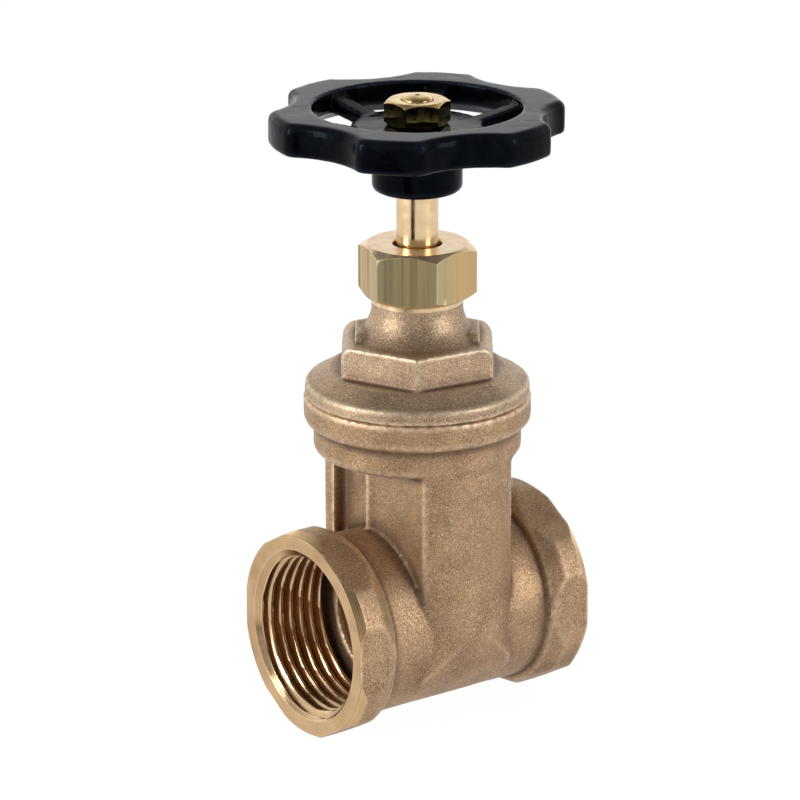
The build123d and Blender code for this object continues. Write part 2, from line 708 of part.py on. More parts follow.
with BuildPart() as handwheel:
    # lobed rim
    with BuildSketch(Plane.XY.offset(rim_bottom_z)):
        Circle(WHEEL_D / 2)
        with PolarLocations(
            WHEEL_D / 2 - SCALLOP_DEPTH + SCALLOP_R, WHEEL_LOBES, start_angle=WHEEL_TURN + lobe_step / 2
        ):
            Circle(SCALLOP_R, mode=Mode.SUBTRACT)
    extrude(amount=rim_top_z - rim_bottom_z)
    fillet(handwheel.edges().filter_by(Axis.Z), LOBE_ROUND)
    fillet(handwheel.faces().sort_by(Axis.Z)[-1].edges(), RIM_EDGE_ROUND)
    fillet(handwheel.faces().sort_by(Axis.Z)[0].edges(), RIM_LOWER_ROUND)
    with BuildSketch(Plane.XZ):
        with BuildLine():
            Polyline(
                (0, rim_bottom_z),
                (RIM_INNER_D / 2 + RIM_SLOPE_WIDTH, rim_bottom_z),
                (RIM_INNER_D / 2, rim_inner_bottom_z),
                (RIM_INNER_D / 2, rim_top_z),
                (0, rim_top_z),
                close=True,
            )
        make_face()
    revolve(axis=Axis.Z, mode=Mode.SUBTRACT)
    # hub, plate and spokes
    with BuildSketch(Plane.XY.offset(hub_bottom_z)):
        Circle(HUB_D / 2)
    extrude(amount=plate_top_z - hub_bottom_z)
    fillet(handwheel.faces().sort_by(Axis.Z)[0].edges(), HUB_ROUND)
    with BuildSketch(Plane.XY.offset(plate_bottom_z)):
        Circle(PLATE_D / 2)
    extrude(amount=plate_top_z - plate_bottom_z)
    for number in range(WHEEL_LOBES):
        add(spoke.part.rotate(Axis.Z, WHEEL_TURN + number * lobe_step))
    # socket for the stem: round below, square above
    with BuildSketch(Plane.XY.offset(hub_bottom_z)):
        Circle(STEM_D / 2 + STEM_FIT)
    extrude(amount=square_z - hub_bottom_z, mode=Mode.SUBTRACT)
    with BuildSketch(Plane.XY.offset(square_z)):
        Circle(STEM_D / 2 + STEM_FIT)
        Rectangle(
            SQUARE_SIZE + 2 * SQUARE_CLEARANCE,
            SQUARE_SIZE + 2 * SQUARE_CLEARANCE,
            rotation=WHEEL_TURN,
            mode=Mode.INTERSECT,
        )
    extrude(amount=plate_top_z - square_z, mode=Mode.SUBTRACT)

handwheel.part.label = "handwheel"
export_step(handwheel.part, "parts/handwheel.step")

# ---- handwheel nut --------------------------------------------------------------------------------------
with BuildPart() as handwheel_nut:
    add(
        chamfered_hexagon(
            WHEEL_NUT_ACROSS_FLATS, plate_top_z, plate_top_z + WHEEL_NUT_HEIGHT, WHEEL_NUT_TURN
        )
    )
    with BuildSketch(Plane.XY.offset(plate_top_z)):
        Circle(STUD_D / 2 + THREAD_FIT)
    extrude(amount=WHEEL_NUT_HEIGHT, mode=Mode.SUBTRACT)

handwheel_nut.part.label = "handwheel_nut"
export_step(handwheel_nut.part, "parts/handwheel_nut.step")
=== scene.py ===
"""Looks of a small bronze gate valve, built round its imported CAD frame.

The castings are soft-edged copies of the CAD solids. Their threads, the nuts and the stem are turned or
screw-cut surfaces worked out on grids. Every length is in metres and every piece sits at the origin.
"""

import itertools
import json
import logging
import math
from collections.abc import Callable
from dataclasses import dataclass
from enum import Enum

import bmesh
import bpy
import numpy as np
from mathutils import Matrix, Vector


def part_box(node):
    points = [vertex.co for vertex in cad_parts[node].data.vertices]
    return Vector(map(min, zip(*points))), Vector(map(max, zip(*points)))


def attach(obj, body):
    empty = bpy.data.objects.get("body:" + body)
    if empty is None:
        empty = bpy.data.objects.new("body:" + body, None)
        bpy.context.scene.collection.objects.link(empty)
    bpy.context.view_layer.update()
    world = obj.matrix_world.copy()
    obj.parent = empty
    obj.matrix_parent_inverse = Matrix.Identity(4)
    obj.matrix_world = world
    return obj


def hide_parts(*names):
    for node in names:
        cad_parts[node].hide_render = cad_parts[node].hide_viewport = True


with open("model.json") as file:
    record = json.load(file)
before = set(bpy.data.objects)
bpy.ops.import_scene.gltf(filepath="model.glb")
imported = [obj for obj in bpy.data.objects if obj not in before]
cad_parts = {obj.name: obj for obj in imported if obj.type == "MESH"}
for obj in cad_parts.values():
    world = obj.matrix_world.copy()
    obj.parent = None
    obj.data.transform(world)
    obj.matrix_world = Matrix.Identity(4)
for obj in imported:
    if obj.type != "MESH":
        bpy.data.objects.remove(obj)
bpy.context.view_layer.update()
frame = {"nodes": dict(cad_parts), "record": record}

logging.basicConfig(level=logging.INFO, format="%(name)s: %(message)s")
log = logging.getLogger("gate_valve")

MM = 0.001
FULL_TURN = 2.0 * math.pi
STANDING_OUT = "standing_out"
STANDING_OUT_BROADLY = "standing_out_broadly"
AVERAGINGS = {3: STANDING_OUT, 24: STANDING_OUT_BROADLY}  # number of averagings behind each attribute
LATTICE_SIZE = 32
WHITE = (1.0, 1.0, 1.0, 1.0)

Colour = tuple[float, float, float]
Point = tuple[float, float, float]
Row = tuple[float | np.ndarray, float | np.ndarray]  # radius and place along the axis, one or one a column
Mesh = bpy.types.Mesh
Piece = bpy.types.Object
Material = bpy.types.Material
Socket = bpy.types.NodeSocket


class Body(str, Enum):
    """The moving bodies that new pieces ride on, by their names in the frame."""

    VALVE = "valve"
    STEM_AND_WHEEL = "stem_and_wheel"


class Slot(str, Enum):
    """The record's material slots, by name; this script gives them to no piece."""

    CAST_BRONZE = "cast_bronze"
    MACHINED_BRASS = "machined_brass"
    BLACK_PAINT = "black_paint"


# ---- numbers from the frame --------------------------------------------------------------------------------


def port_mount(name: str) -> dict:
    """Return the mount of that name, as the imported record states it."""
    return next(mount for mount in frame["record"]["mounts"] if mount["name"] == name)


PIPE_HEIGHT = port_mount("right_port")["pos_m"][2]
CREST_RADIUS = port_mount("right_port")["dims"]["r_mm"] * MM


# ---- meshes as arrays --------------------------------------------------------------------------------------


def read(items: bpy.types.bpy_prop_collection, key: str, width: int = 3, kind: type = float) -> np.ndarray:
    """Read one vector or number from each item of a mesh.

    Args:
        items: the mesh's points, edges, faces, corners or normals.
        key: the name of the vector or number.
        width: how many numbers each item has.
        kind: the numbers' type.

    Returns:
        One item a row, or a flat array where each item has one number.
    """
    flat = np.empty(len(items) * width, dtype=kind)
    items.foreach_get(key, flat)
    return flat.reshape(-1, width) if width > 1 else flat


def set_points(mesh: Mesh, points: np.ndarray) -> None:
    """Write an array of points back into its mesh."""
    mesh.vertices.foreach_set("co", points.astype(np.float32).ravel())
    mesh.update()


def inside_box(points: np.ndarray, node: str) -> np.ndarray:
    """Move the points that lie outside a CAD node's box onto its sides."""
    low, high = (np.array(corner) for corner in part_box(node))
    return np.clip(points, low, high)


def lattice_noise(points: np.ndarray, cell: float, seed: int) -> np.ndarray:
    """Give a smooth random value from -1 to 1 at each point.

    A random number stands on every corner of a cubic lattice, which repeats after LATTICE_SIZE cells. A
    point's value is its eight corners' values, mixed by the smoothstep of its place in its cell.

    Args:
        points: one point a row.
        cell: the lattice's spacing.
        seed: seed of the random numbers.

    Returns:
        One value a point.
    """
    table = np.random.default_rng(seed).uniform(-1.0, 1.0, (LATTICE_SIZE,) * 3)
    corner = np.floor(points / cell).astype(int)
    part = points / cell - corner
    part = part * part * (3.0 - 2.0 * part)
    total = np.zeros(len(points))
    for offset in itertools.product((0, 1), repeat=3):
        share = np.prod(np.where(np.array(offset) == 1, part, 1.0 - part), axis=1)
        i, j, k = ((corner + offset) % LATTICE_SIZE).T
        total += share * table[i, j, k]
    return total


# ---- making pieces -----------------------------------------------------------------------------------------


def link_piece(name: str, mesh: Mesh) -> Piece:
    """Put a mesh into the scene.

    Args:
        name: the object's name.
        mesh: the mesh.

    Returns:
        The new object.
    """
    piece = bpy.data.objects.new(name, mesh)
    bpy.context.scene.collection.objects.link(piece)
    return piece


def grid_faces(rows: int, columns: int) -> np.ndarray:
    """List the quads of a grid whose rows and columns both close on themselves.

    Args:
        rows: number of points along the profile.
        columns: number of points round the axis.

    Returns:
        Four point numbers a row.
    """
    row, column = np.meshgrid(np.arange(rows), np.arange(columns), indexing="ij")
    next_row, next_column = (row + 1) % rows, (column + 1) % columns
    quads = [row * columns + column, row * columns + next_column]
    quads += [next_row * columns + next_column, next_row * columns + column]
    return np.stack(quads, axis=-1).reshape(-1, 4)


def closed_piece(name: str, grid: np.ndarray) -> Piece:
    """Make a closed shell from a grid of points that wraps both ways.

    Points that fall together, at a pole or a seam, are merged, and the faces are turned outwards.

    Args:
        name: the piece's name.
        grid: points by profile row, then round the axis.

    Returns:
        The new object.
    """
    rows, columns = grid.shape[:2]
    mesh = bpy.data.meshes.new(name)
    mesh.from_pydata(grid.reshape(-1, 3).tolist(), [], grid_faces(rows, columns).tolist())
    work = bmesh.new()
    work.from_mesh(mesh)
    bmesh.ops.remove_doubles(work, verts=work.verts, dist=1e-7)
    bmesh.ops.delete(work, geom=[edge for edge in work.edges if not edge.link_faces], context="EDGES")
    bmesh.ops.recalc_face_normals(work, faces=work.faces)
    work.to_mesh(mesh)
    work.free()
    return link_piece(name, mesh)


def even_turn(columns: int) -> np.ndarray:
    """Give evenly spaced angles all round an axis."""
    return FULL_TURN * np.arange(columns) / columns


def ring_table(rows: list[Row], columns: int) -> tuple[np.ndarray, np.ndarray]:
    """Repeat each row's single numbers for every column, and return the radii and the places apart."""
    radius, place = (np.array([np.broadcast_to(row[part], columns) for row in rows]) for part in (0, 1))
    return radius, place


def upright_piece(name: str, rows: list[Row], angle: np.ndarray, lift: float = 0.0) -> Piece:
    """Make a closed piece round the stem axis.

    Each point stands at its row's radius and height, in the direction of its column's angle.

    Args:
        name: the piece's name.
        rows: the profile, which closes on itself.
        angle: the columns' angles.
        lift: added to every height.

    Returns:
        The new object.
    """
    radius, height = ring_table(rows, len(angle))
    grid = np.stack([radius * np.cos(angle), radius * np.sin(angle), height + lift], axis=-1)
    return closed_piece(name, grid)


def finished(piece: Piece) -> None:
    """Turn a piece's modifiers into its mesh.

    Args:
        piece: the object.
    """
    graph = bpy.context.evaluated_depsgraph_get()
    mesh = bpy.data.meshes.new_from_object(piece.evaluated_get(graph))
    piece.modifiers.clear()
    raw, piece.data = piece.data, mesh
    mesh.name = raw.name
    bpy.data.meshes.remove(raw)


def shade(piece: Piece, sharp_degrees: float) -> None:
    """Shade a piece smooth, with an edge left sharp where its faces meet at more than an angle.

    Args:
        piece: the object.
        sharp_degrees: the angle.
    """
    mesh = piece.data
    mesh.polygons.foreach_set("use_smooth", np.ones(len(mesh.polygons), bool))
    mesh.set_sharp_from_angle(angle=math.radians(sharp_degrees))


def paint_faces(piece: Piece, materials: list[Material], index: np.ndarray) -> None:
    """Give each face of a piece one of several materials.

    Args:
        piece: the object.
        materials: the materials, in order.
        index: one number a face.
    """
    piece.data.materials.clear()
    for material in materials:
        piece.data.materials.append(material)
    piece.data.polygons.foreach_set("material_index", index.astype(np.int32))
    piece.data.update()


def sharpen_borders(piece: Piece) -> None:
    """Make every edge sharp where two materials meet, as a cut meets the skin.

    Args:
        piece: object whose faces have their materials.
    """
    mesh = piece.data
    sides = read(mesh.polygons, "loop_total", 1, np.int32)
    material = np.repeat(read(mesh.polygons, "material_index", 1, np.int32), sides)
    edge = read(mesh.loops, "edge_index", 1, np.int32)
    lowest = np.full(len(mesh.edges), len(mesh.materials))
    highest = np.full(len(mesh.edges), -1)
    np.minimum.at(lowest, edge, material)
    np.maximum.at(highest, edge, material)
    sharp = read(mesh.edges, "use_edge_sharp", 1, bool)
    mesh.edges.foreach_set("use_edge_sharp", sharp | (lowest < highest))


def mark_edges(piece: Piece) -> None:
    """Store, on each point, how far it stands out from its neighbours, near by and in a wider circle.

    The value is the mean sine of the angle by which the ways to the neighbours dip below the point's
    tangent plane: above 0 on an edge, below 0 in a hollow. It is then averaged with the neighbours' values
    again and again, and kept as an attribute each time that AVERAGINGS names.

    Args:
        piece: the object.
    """
    mesh = piece.data
    points = read(mesh.vertices, "co")
    normals = read(mesh.vertex_normals, "vector")
    first, second = read(mesh.edges, "vertices", 2, np.int32).T
    way = points[second] - points[first]
    way /= np.maximum(np.linalg.norm(way, axis=1), 1e-9)[:, None]
    neighbours = np.bincount(first, None, len(points)) + np.bincount(second, None, len(points))

    def gathered(at_first: np.ndarray, at_second: np.ndarray) -> np.ndarray:
        """Add up one value an edge at each of its ends, and divide by the number of edges there."""
        total = np.bincount(first, at_first, len(points)) + np.bincount(second, at_second, len(points))
        return total / np.maximum(neighbours, 1)

    value = gathered(-np.sum(normals[first] * way, axis=1), np.sum(normals[second] * way, axis=1))
    for step in range(1, max(AVERAGINGS) + 1):
        value = 0.5 * (value + gathered(value[second], value[first]))
        name = AVERAGINGS.get(step)
        if name:
            kept = mesh.attributes.get(name) or mesh.attributes.new(name, "FLOAT", "POINT")
            kept.data.foreach_set("value", value.astype(np.float32))


# ---- drawing up nodes --------------------------------------------------------------------------------------


class NodeSheet:
    """The nodes of a material or a world being drawn up."""

    def __init__(self, owner: Material | bpy.types.World) -> None:
        """Start with no nodes.

        Args:
            owner: the material or the world.
        """
        owner.use_nodes = True
        self.tree = owner.node_tree
        self.tree.nodes.clear()

    def node(
        self, kind: str, feeds: dict[str | int, object] | None = None, **settings: object
    ) -> bpy.types.Node:
        """Add a node.

        Args:
            kind: the node's type, without the word that all of them start with.
            feeds: a plain value or an output for each input named.
            settings: the node's own settings.

        Returns:
            The node.
        """
        made = self.tree.nodes.new(f"ShaderNode{kind}")
        for key, value in settings.items():
            setattr(made, key, value)
        for key, value in (feeds or {}).items():
            self.feed(made.inputs[key], value)
        return made

    def feed(self, target: Socket, value: object) -> None:
        """Set an input to a plain value, or join an output to it.

        Args:
            target: the input.
            value: the value or the output.
        """
        if isinstance(value, Socket):
            self.tree.links.new(value, target)
        else:
            target.default_value = value

    def spread(
        self,
        value: Socket,
        low: float,
        high: float,
        to_low: float = 0.0,
        to_high: float = 1.0,
        interpolation: str = "LINEAR",
    ) -> Socket:
        """Stretch a value so that low becomes to_low and high becomes to_high, and stop it there."""
        feeds = {"Value": value, "From Min": low, "From Max": high, "To Min": to_low, "To Max": to_high}
        return self.node("MapRange", feeds, interpolation_type=interpolation).outputs["Result"]

    def sum(self, first: object, second: object) -> Socket:
        """Add two values, numbers or outputs."""
        return self.node("Math", {0: first, 1: second}, operation="ADD").outputs["Value"]

    def product(self, first: object, second: object) -> Socket:
        """Multiply two values, numbers or outputs."""
        return self.node("Math", {0: first, 1: second}, operation="MULTIPLY").outputs["Value"]

    def blend(self, share: Socket, first: bpy.types.Node, second: bpy.types.Node) -> Socket:
        """Mix two shaders, of which the share belongs to the second."""
        feeds = {0: share, 1: first.outputs[0], 2: second.outputs[0]}
        return self.node("MixShader", feeds).outputs[0]


class ShaderSheet(NodeSheet):
    """One of the valve's materials being drawn up."""

    def __init__(self, name: str) -> None:
        """Start a material with a Principled shader and Object coordinates in millimetres.

        Args:
            name: the material's name.
        """
        self.material = bpy.data.materials.new(name)
        super().__init__(self.material)
        self.shader = self.node("BsdfPrincipled")
        self.node("OutputMaterial", {"Surface": self.shader.outputs["BSDF"]})
        self.place = self.stretched((1.0, 1.0, 1.0))

    def stretched(self, scale: Point, centre: Point = (0.0, 0.0, 0.0)) -> Socket:
        """Give Object coordinates in millimetres, scaled apart along the axes.

        Args:
            scale: factor along each axis.
            centre: the point, in metres, that becomes the coordinates' origin.

        Returns:
            The vector output.
        """
        factors = tuple(factor / MM for factor in scale)
        shift = tuple(-c * f for c, f in zip(centre, factors))
        source = self.node("TexCoord").outputs["Object"]
        return self.node("Mapping", {"Vector": source, "Scale": factors, "Location": shift}).outputs["Vector"]

    def noise(self, scale: float, detail: float = 3.0, vector: Socket | None = None) -> Socket:
        """Add noise of so many cells a millimetre, on the coordinates given or on the plain ones."""
        feeds = {"Vector": vector or self.place, "Scale": scale, "Detail": detail}
        return self.node("TexNoise", feeds).outputs["Fac"]

    def rings(self, scale: float, across: Point, centre: Point) -> Socket:
        """Add noise that changes only with the distance from an axis, as a lathe tool leaves it.

        Args:
            scale: cells a millimetre.
            across: 0 along the axis that the piece was turned about, and 1 along the other two.
            centre: a point on that axis, in metres.

        Returns:
            The value output.
        """
        length = self.node("VectorMath", {0: self.stretched(across, centre)}, operation="LENGTH")
        feeds = {"W": length.outputs["Value"], "Scale": scale, "Detail": 2.0}
        return self.node("TexNoise", feeds, noise_dimensions="1D").outputs["Fac"]

    def worn_and_highlit(self, low: float, high: float, most: float) -> Socket:
        """Give a value that grows from 0 to most as the pointiness goes from low to high."""
        return self.spread(self.node("NewGeometry").outputs["Pointiness"], low, high, 0.0, most)

    def standing_out(self, low: float, high: float, most: float, attribute: str = STANDING_OUT) -> Socket:
        """Give a value that grows from 0 to most as the stored attribute goes from low to high."""
        stored = self.node("Attribute", attribute_name=attribute).outputs["Fac"]
        return self.spread(stored, low, high, 0.0, most)

    def mix(self, share: object, first: object, second: object) -> Socket:
        """Mix two colours, plain ones or outputs, of which the share belongs to the second."""
        first, second = (value if isinstance(value, Socket) else (*value, 1.0) for value in (first, second))
        return self.node("Mix", {0: share, 6: first, 7: second}, data_type="RGBA").outputs[2]

    def bump(self, height: Socket, depth: float, strength: float, below: Socket | None = None) -> Socket:
        """Add a bump.

        Args:
            height: value from 0 to 1.
            depth: how far 1 stands out, in millimetres.
            strength: the bump's strength.
            below: a normal that this bump stands on.

        Returns:
            The normal output.
        """
        feeds = {"Height": height, "Strength": strength, "Distance": depth * MM}
        if below is not None:
            feeds["Normal"] = below
        return self.node("Bump", feeds).outputs["Normal"]


# ---- finishes ----------------------------------------------------------------------------------------------

Worked = tuple[Socket, Socket, Socket]


@dataclass(frozen=True)
class Finish:
    """How one kind of surface looks."""

    name: str
    metallic: float = 0.0

    def draw(self, sheet: ShaderSheet) -> Worked:
        """Work out the outputs for base colour, roughness and normal."""
        raise NotImplementedError

    def material(self) -> Material:
        """Draw up the material.

        Returns:
            The material.
        """
        sheet = ShaderSheet(self.name)
        sheet.feed(sheet.shader.inputs["Metallic"], self.metallic)
        for name, value in zip(("Base Color", "Roughness", "Normal"), self.draw(sheet)):
            sheet.feed(sheet.shader.inputs[name], value)
        return sheet.material


@dataclass(frozen=True)
class SandCastBronze(Finish):
    """Bronze as it comes from the sand: matt and speckled, with painted glints, painted shade in its hollows
    and over broad dips, and edges made paler by wear and by painted highlights.
    """

    metallic: float = 0.7
    light: Colour = (0.55, 0.355, 0.203)
    dark: Colour = (0.22, 0.130, 0.070)
    # painted glint: light gold spots standing in for sand grains that catch the light
    painted_glint: Colour = (0.84, 0.66, 0.40)
    # painted shade laid into the small hollows
    hollow: Colour = (0.12, 0.066, 0.038)
    # painted shade over broad dips and the feet of walls
    shade: Colour = (0.17, 0.10, 0.062)
    # edge colour: wear on the edges, and a painted highlight as well
    edge: Colour = (0.80, 0.61, 0.42)

    def draw(self, sheet: ShaderSheet) -> Worked:
        """Work out the speckle, the painted glints, the painted shade in hollows and broad dips, the edges
        paler from wear and from painted highlights, and the grain of the sand.

        Args:
            sheet: the material being drawn up.

        Returns:
            The outputs for base colour, roughness and normal.
        """
        grain = sheet.noise(4.2, 3.0)
        patches = sheet.noise(0.16, 3.0)
        speckle = sheet.spread(sheet.sum(grain, sheet.product(patches, 0.4)), 0.52, 0.87)
        colour = sheet.mix(speckle, self.dark, self.light)
        # painted glints: rare light spots from noise
        colour = sheet.mix(sheet.spread(sheet.noise(3.1, 2.0), 0.61, 0.70, 0.0, 0.7), colour, self.painted_glint)
        # painted shade over broad dips
        colour = sheet.mix(sheet.standing_out(-0.003, -0.03, 0.4, STANDING_OUT_BROADLY), colour, self.shade)
        # painted shade in the small hollows
        colour = sheet.mix(sheet.standing_out(-0.012, -0.09, 0.75), colour, self.hollow)
        # edges made paler, partly wear and partly painted highlight, patchy by noise
        edge_wear_and_highlight_share = sheet.spread(sheet.noise(0.9, 3.0), 0.35, 0.62, 0.25, 1.0)
        colour = sheet.mix(sheet.product(sheet.standing_out(0.018, 0.11, 0.95), edge_wear_and_highlight_share), colour, self.edge)
        roughness = sheet.spread(grain, 0.3, 0.7, 0.58, 0.42)
        coarse = sheet.bump(sheet.noise(1.1, 3.0), 0.08, 0.5)
        return colour, roughness, sheet.bump(sheet.noise(5.5, 2.0), 0.035, 0.7, below=coarse)


@dataclass(frozen=True)
class TurnedBronze(Finish):
    """Bronze faced or screw-cut in a lathe about the pipe axis: bright, with fine rings, painted shade in its
    grooves and painted highlights on the thread's crest.
    """

    metallic: float = 0.95
    bright: Colour = (0.72, 0.49, 0.27)
    dull: Colour = (0.47, 0.28, 0.13)
    # painted shade in the thread's roots and other grooves
    painted_groove_shade: Colour = (0.15, 0.065, 0.03)
    # painted highlight on the thread's crest
    crest: Colour = (0.95, 0.80, 0.64)
    crest_highlight_share: float = 0.0
    least_roughness: float = 0.16

    def draw(self, sheet: ShaderSheet) -> Worked:
        """Work out the tool's rings, the stains, the painted shade in the grooves, and the painted highlights
        on each rougher crest.

        Args:
            sheet: the material being drawn up.

        Returns:
            The outputs for base colour, roughness and normal.
        """
        rings = sheet.rings(7.0, (0.0, 1.0, 1.0), (0.0, 0.0, PIPE_HEIGHT))
        stain = sheet.noise(0.14, 4.0)
        colour = sheet.mix(sheet.spread(sheet.sum(rings, stain), 0.70, 1.12), self.dull, self.bright)
        # painted shade in the grooves
        colour = sheet.mix(sheet.standing_out(-0.03, -0.25, 0.8), colour, self.painted_groove_shade)
        # painted highlight on the crest, which is also made rougher
        crest_highlight_and_roughness = sheet.standing_out(0.06, 0.22, self.crest_highlight_share)
        colour = sheet.mix(crest_highlight_and_roughness, colour, self.crest)
        roughness = sheet.spread(stain, 0.3, 0.7, self.least_roughness, self.least_roughness + 0.12)
        roughness = sheet.sum(roughness, sheet.product(crest_highlight_and_roughness, 0.18))
        grain = sheet.bump(sheet.noise(5.0, 2.0), 0.008, 0.5)
        return colour, roughness, sheet.bump(rings, 0.012, 0.6, below=grain)


@dataclass(frozen=True)
class DrawnBrass(Finish):
    """Hexagon bar as drawn: streaks along its length, between gold and olive."""

    metallic: float = 0.92
    bright: Colour = (0.58, 0.39, 0.18)
    dull: Colour = (0.17, 0.12, 0.05)
    olive: Colour = (0.47, 0.38, 0.20)
    # edge colour: wear on the corners, and a painted highlight as well
    edge: Colour = (0.88, 0.70, 0.44)
    least_roughness: float = 0.30

    def draw(self, sheet: ShaderSheet) -> Worked:
        """Work out the streaks, the slow change of tone between them, and the edges made paler by wear and by
        painted highlights.

        Args:
            sheet: the material being drawn up.

        Returns:
            The outputs for base colour, roughness and normal.
        """
        along = sheet.stretched((1.0, 1.0, 0.015))
        streaks = sheet.noise(0.75, 7.0, along)
        fine = sheet.noise(6.0, 2.0, sheet.stretched((1.0, 1.0, 0.05)))
        tone = sheet.mix(sheet.spread(sheet.noise(0.13, 2.0, along), 0.42, 0.58), self.olive, self.bright)
        colour = sheet.mix(sheet.spread(streaks, 0.33, 0.47, 0.8, 0.0), tone, self.dull)
        # pointy corners made paler, partly wear and partly painted highlight
        worn_and_highlit = sheet.worn_and_highlit(0.52, 0.6, 0.8)
        colour = sheet.mix(worn_and_highlit, colour, self.edge)
        roughness = sheet.spread(streaks, 0.3, 0.7, self.least_roughness + 0.16, self.least_roughness)
        roughness = sheet.sum(roughness, sheet.product(worn_and_highlit, 0.25))
        return colour, roughness, sheet.bump(fine, 0.010, 0.6, below=sheet.bump(streaks, 0.02, 0.4))


@dataclass(frozen=True)
class TurnedBrass(Finish):
    """Brass turned about the stem axis: fine rings, bright, a little stained."""

    metallic: float = 0.8
    bright: Colour = (0.86, 0.66, 0.42)
    dull: Colour = (0.62, 0.43, 0.23)
    least_roughness: float = 0.26
    ring_depth: float = 0.012

    def draw(self, sheet: ShaderSheet) -> Worked:
        """Work out the stains, and the tool's marks on level faces and on upright ones.

        Args:
            sheet: the material being drawn up.

        Returns:
            The outputs for base colour, roughness and normal.
        """
        rings = sheet.rings(8.0, (1.0, 1.0, 0.0), (0.0, 0.0, 0.0))
        bands = sheet.noise(4.0, 2.0, sheet.stretched((0.0, 0.0, 1.0)))
        stain = sheet.noise(0.5, 4.0)
        colour = sheet.mix(sheet.spread(stain, 0.35, 0.65), self.dull, self.bright)
        roughness = sheet.spread(stain, 0.3, 0.7, self.least_roughness, self.least_roughness + 0.1)
        banded = sheet.bump(bands, self.ring_depth, 0.3)
        return colour, roughness, sheet.bump(rings, self.ring_depth, 0.6, below=banded)


@dataclass(frozen=True)
class GlossPaint(Finish):
    """Thick black paint over a casting, with a slight orange peel, a bluish dusting that is partly painted
    sheen, and thinly covered edges painted lighter as highlights.
    """

    paint: Colour = (0.0011, 0.0012, 0.0018)
    # bluish grey: dusting, and painted sheen as well
    dust_and_sheen: Colour = (0.0040, 0.0048, 0.0072)
    # lighter bluish grey on the edges: thinner paint, and painted highlight as well
    thin_paint_and_edge_highlight: Colour = (0.020, 0.025, 0.036)
    specular: float = 0.05
    specular_tint: Colour = (0.55, 0.78, 1.0)

    def draw(self, sheet: ShaderSheet) -> Worked:
        """Work out the dusting with its painted bluish sheen, the thinly covered edges with their painted
        highlights, and the orange peel.

        Args:
            sheet: the material being drawn up.

        Returns:
            The outputs for base colour, roughness and normal.
        """
        sheet.feed(sheet.shader.inputs["Specular IOR Level"], self.specular)
        sheet.feed(sheet.shader.inputs["Specular Tint"], (*self.specular_tint, 1.0))
        cloud = sheet.noise(0.3, 4.0)
        # bluish cloud: dusting and painted sheen
        colour = sheet.mix(sheet.spread(cloud, 0.45, 0.75), self.paint, self.dust_and_sheen)
        # edges made lighter: thinner paint and painted highlight
        colour = sheet.mix(sheet.standing_out(0.03, 0.14, 0.8), colour, self.thin_paint_and_edge_highlight)
        roughness = sheet.spread(cloud, 0.3, 0.7, 0.12, 0.20)
        return colour, roughness, sheet.bump(sheet.noise(0.7, 2.0), 0.04, 0.35)


@dataclass(frozen=True)
class PlainPacking(Finish):
    """A plain soft packing or gasket material, faintly mottled."""

    colour: Colour = (0.85, 0.85, 0.82)
    mottle: Colour = (0.7, 0.7, 0.68)

    def draw(self, sheet: ShaderSheet) -> Worked:
        """Work out the mottle and the fibres' relief.

        Args:
            sheet: the material being drawn up.

        Returns:
            The outputs for base colour, roughness and normal.
        """
        fibres = sheet.noise(3.0, 4.0)
        colour = sheet.mix(sheet.spread(fibres, 0.35, 0.7), self.colour, self.mottle)
        return colour, sheet.spread(fibres, 0.3, 0.7, 0.5, 0.7), sheet.bump(fibres, 0.03, 0.6)


# The bonnet's copy of the cast bronze, painted lighter and greyer: painted light standing in for the brighter
# light that falls on the bonnet.
BRONZE_PAINTED_LIGHTER = SandCastBronze(
    "pale_cast_bronze",
    light=(0.60, 0.425, 0.272),
    dark=(0.215, 0.142, 0.086),
    painted_glint=(0.95, 0.80, 0.58),
    shade=(0.15, 0.095, 0.065),
    edge=(0.88, 0.72, 0.52),
)
POLISHED_BRASS = TurnedBrass(
    "polished_brass",
    metallic=1.0,
    bright=(0.86, 0.64, 0.39),
    dull=(0.78, 0.56, 0.32),
    least_roughness=0.13,
    ring_depth=0.006,
)
GILT_BRASS = TurnedBrass(
    "gilt_brass", metallic=1.0, bright=(0.78, 0.55, 0.22), dull=(0.36, 0.24, 0.09), least_roughness=0.16
)
# The handwheel nut's drawn brass painted dark: painted reflection of the black wheel below it, with bright
# painted highlights on its corners.
DRAWN_BRASS_PAINTED_DARK = DrawnBrass(
    "tarnished_brass",
    metallic=1.0,
    bright=(0.30, 0.22, 0.08),
    dull=(0.10, 0.075, 0.03),
    olive=(0.22, 0.18, 0.08),
    edge=(0.95, 0.78, 0.46),
    least_roughness=0.05,
)


# ---- castings ----------------------------------------------------------------------------------------------


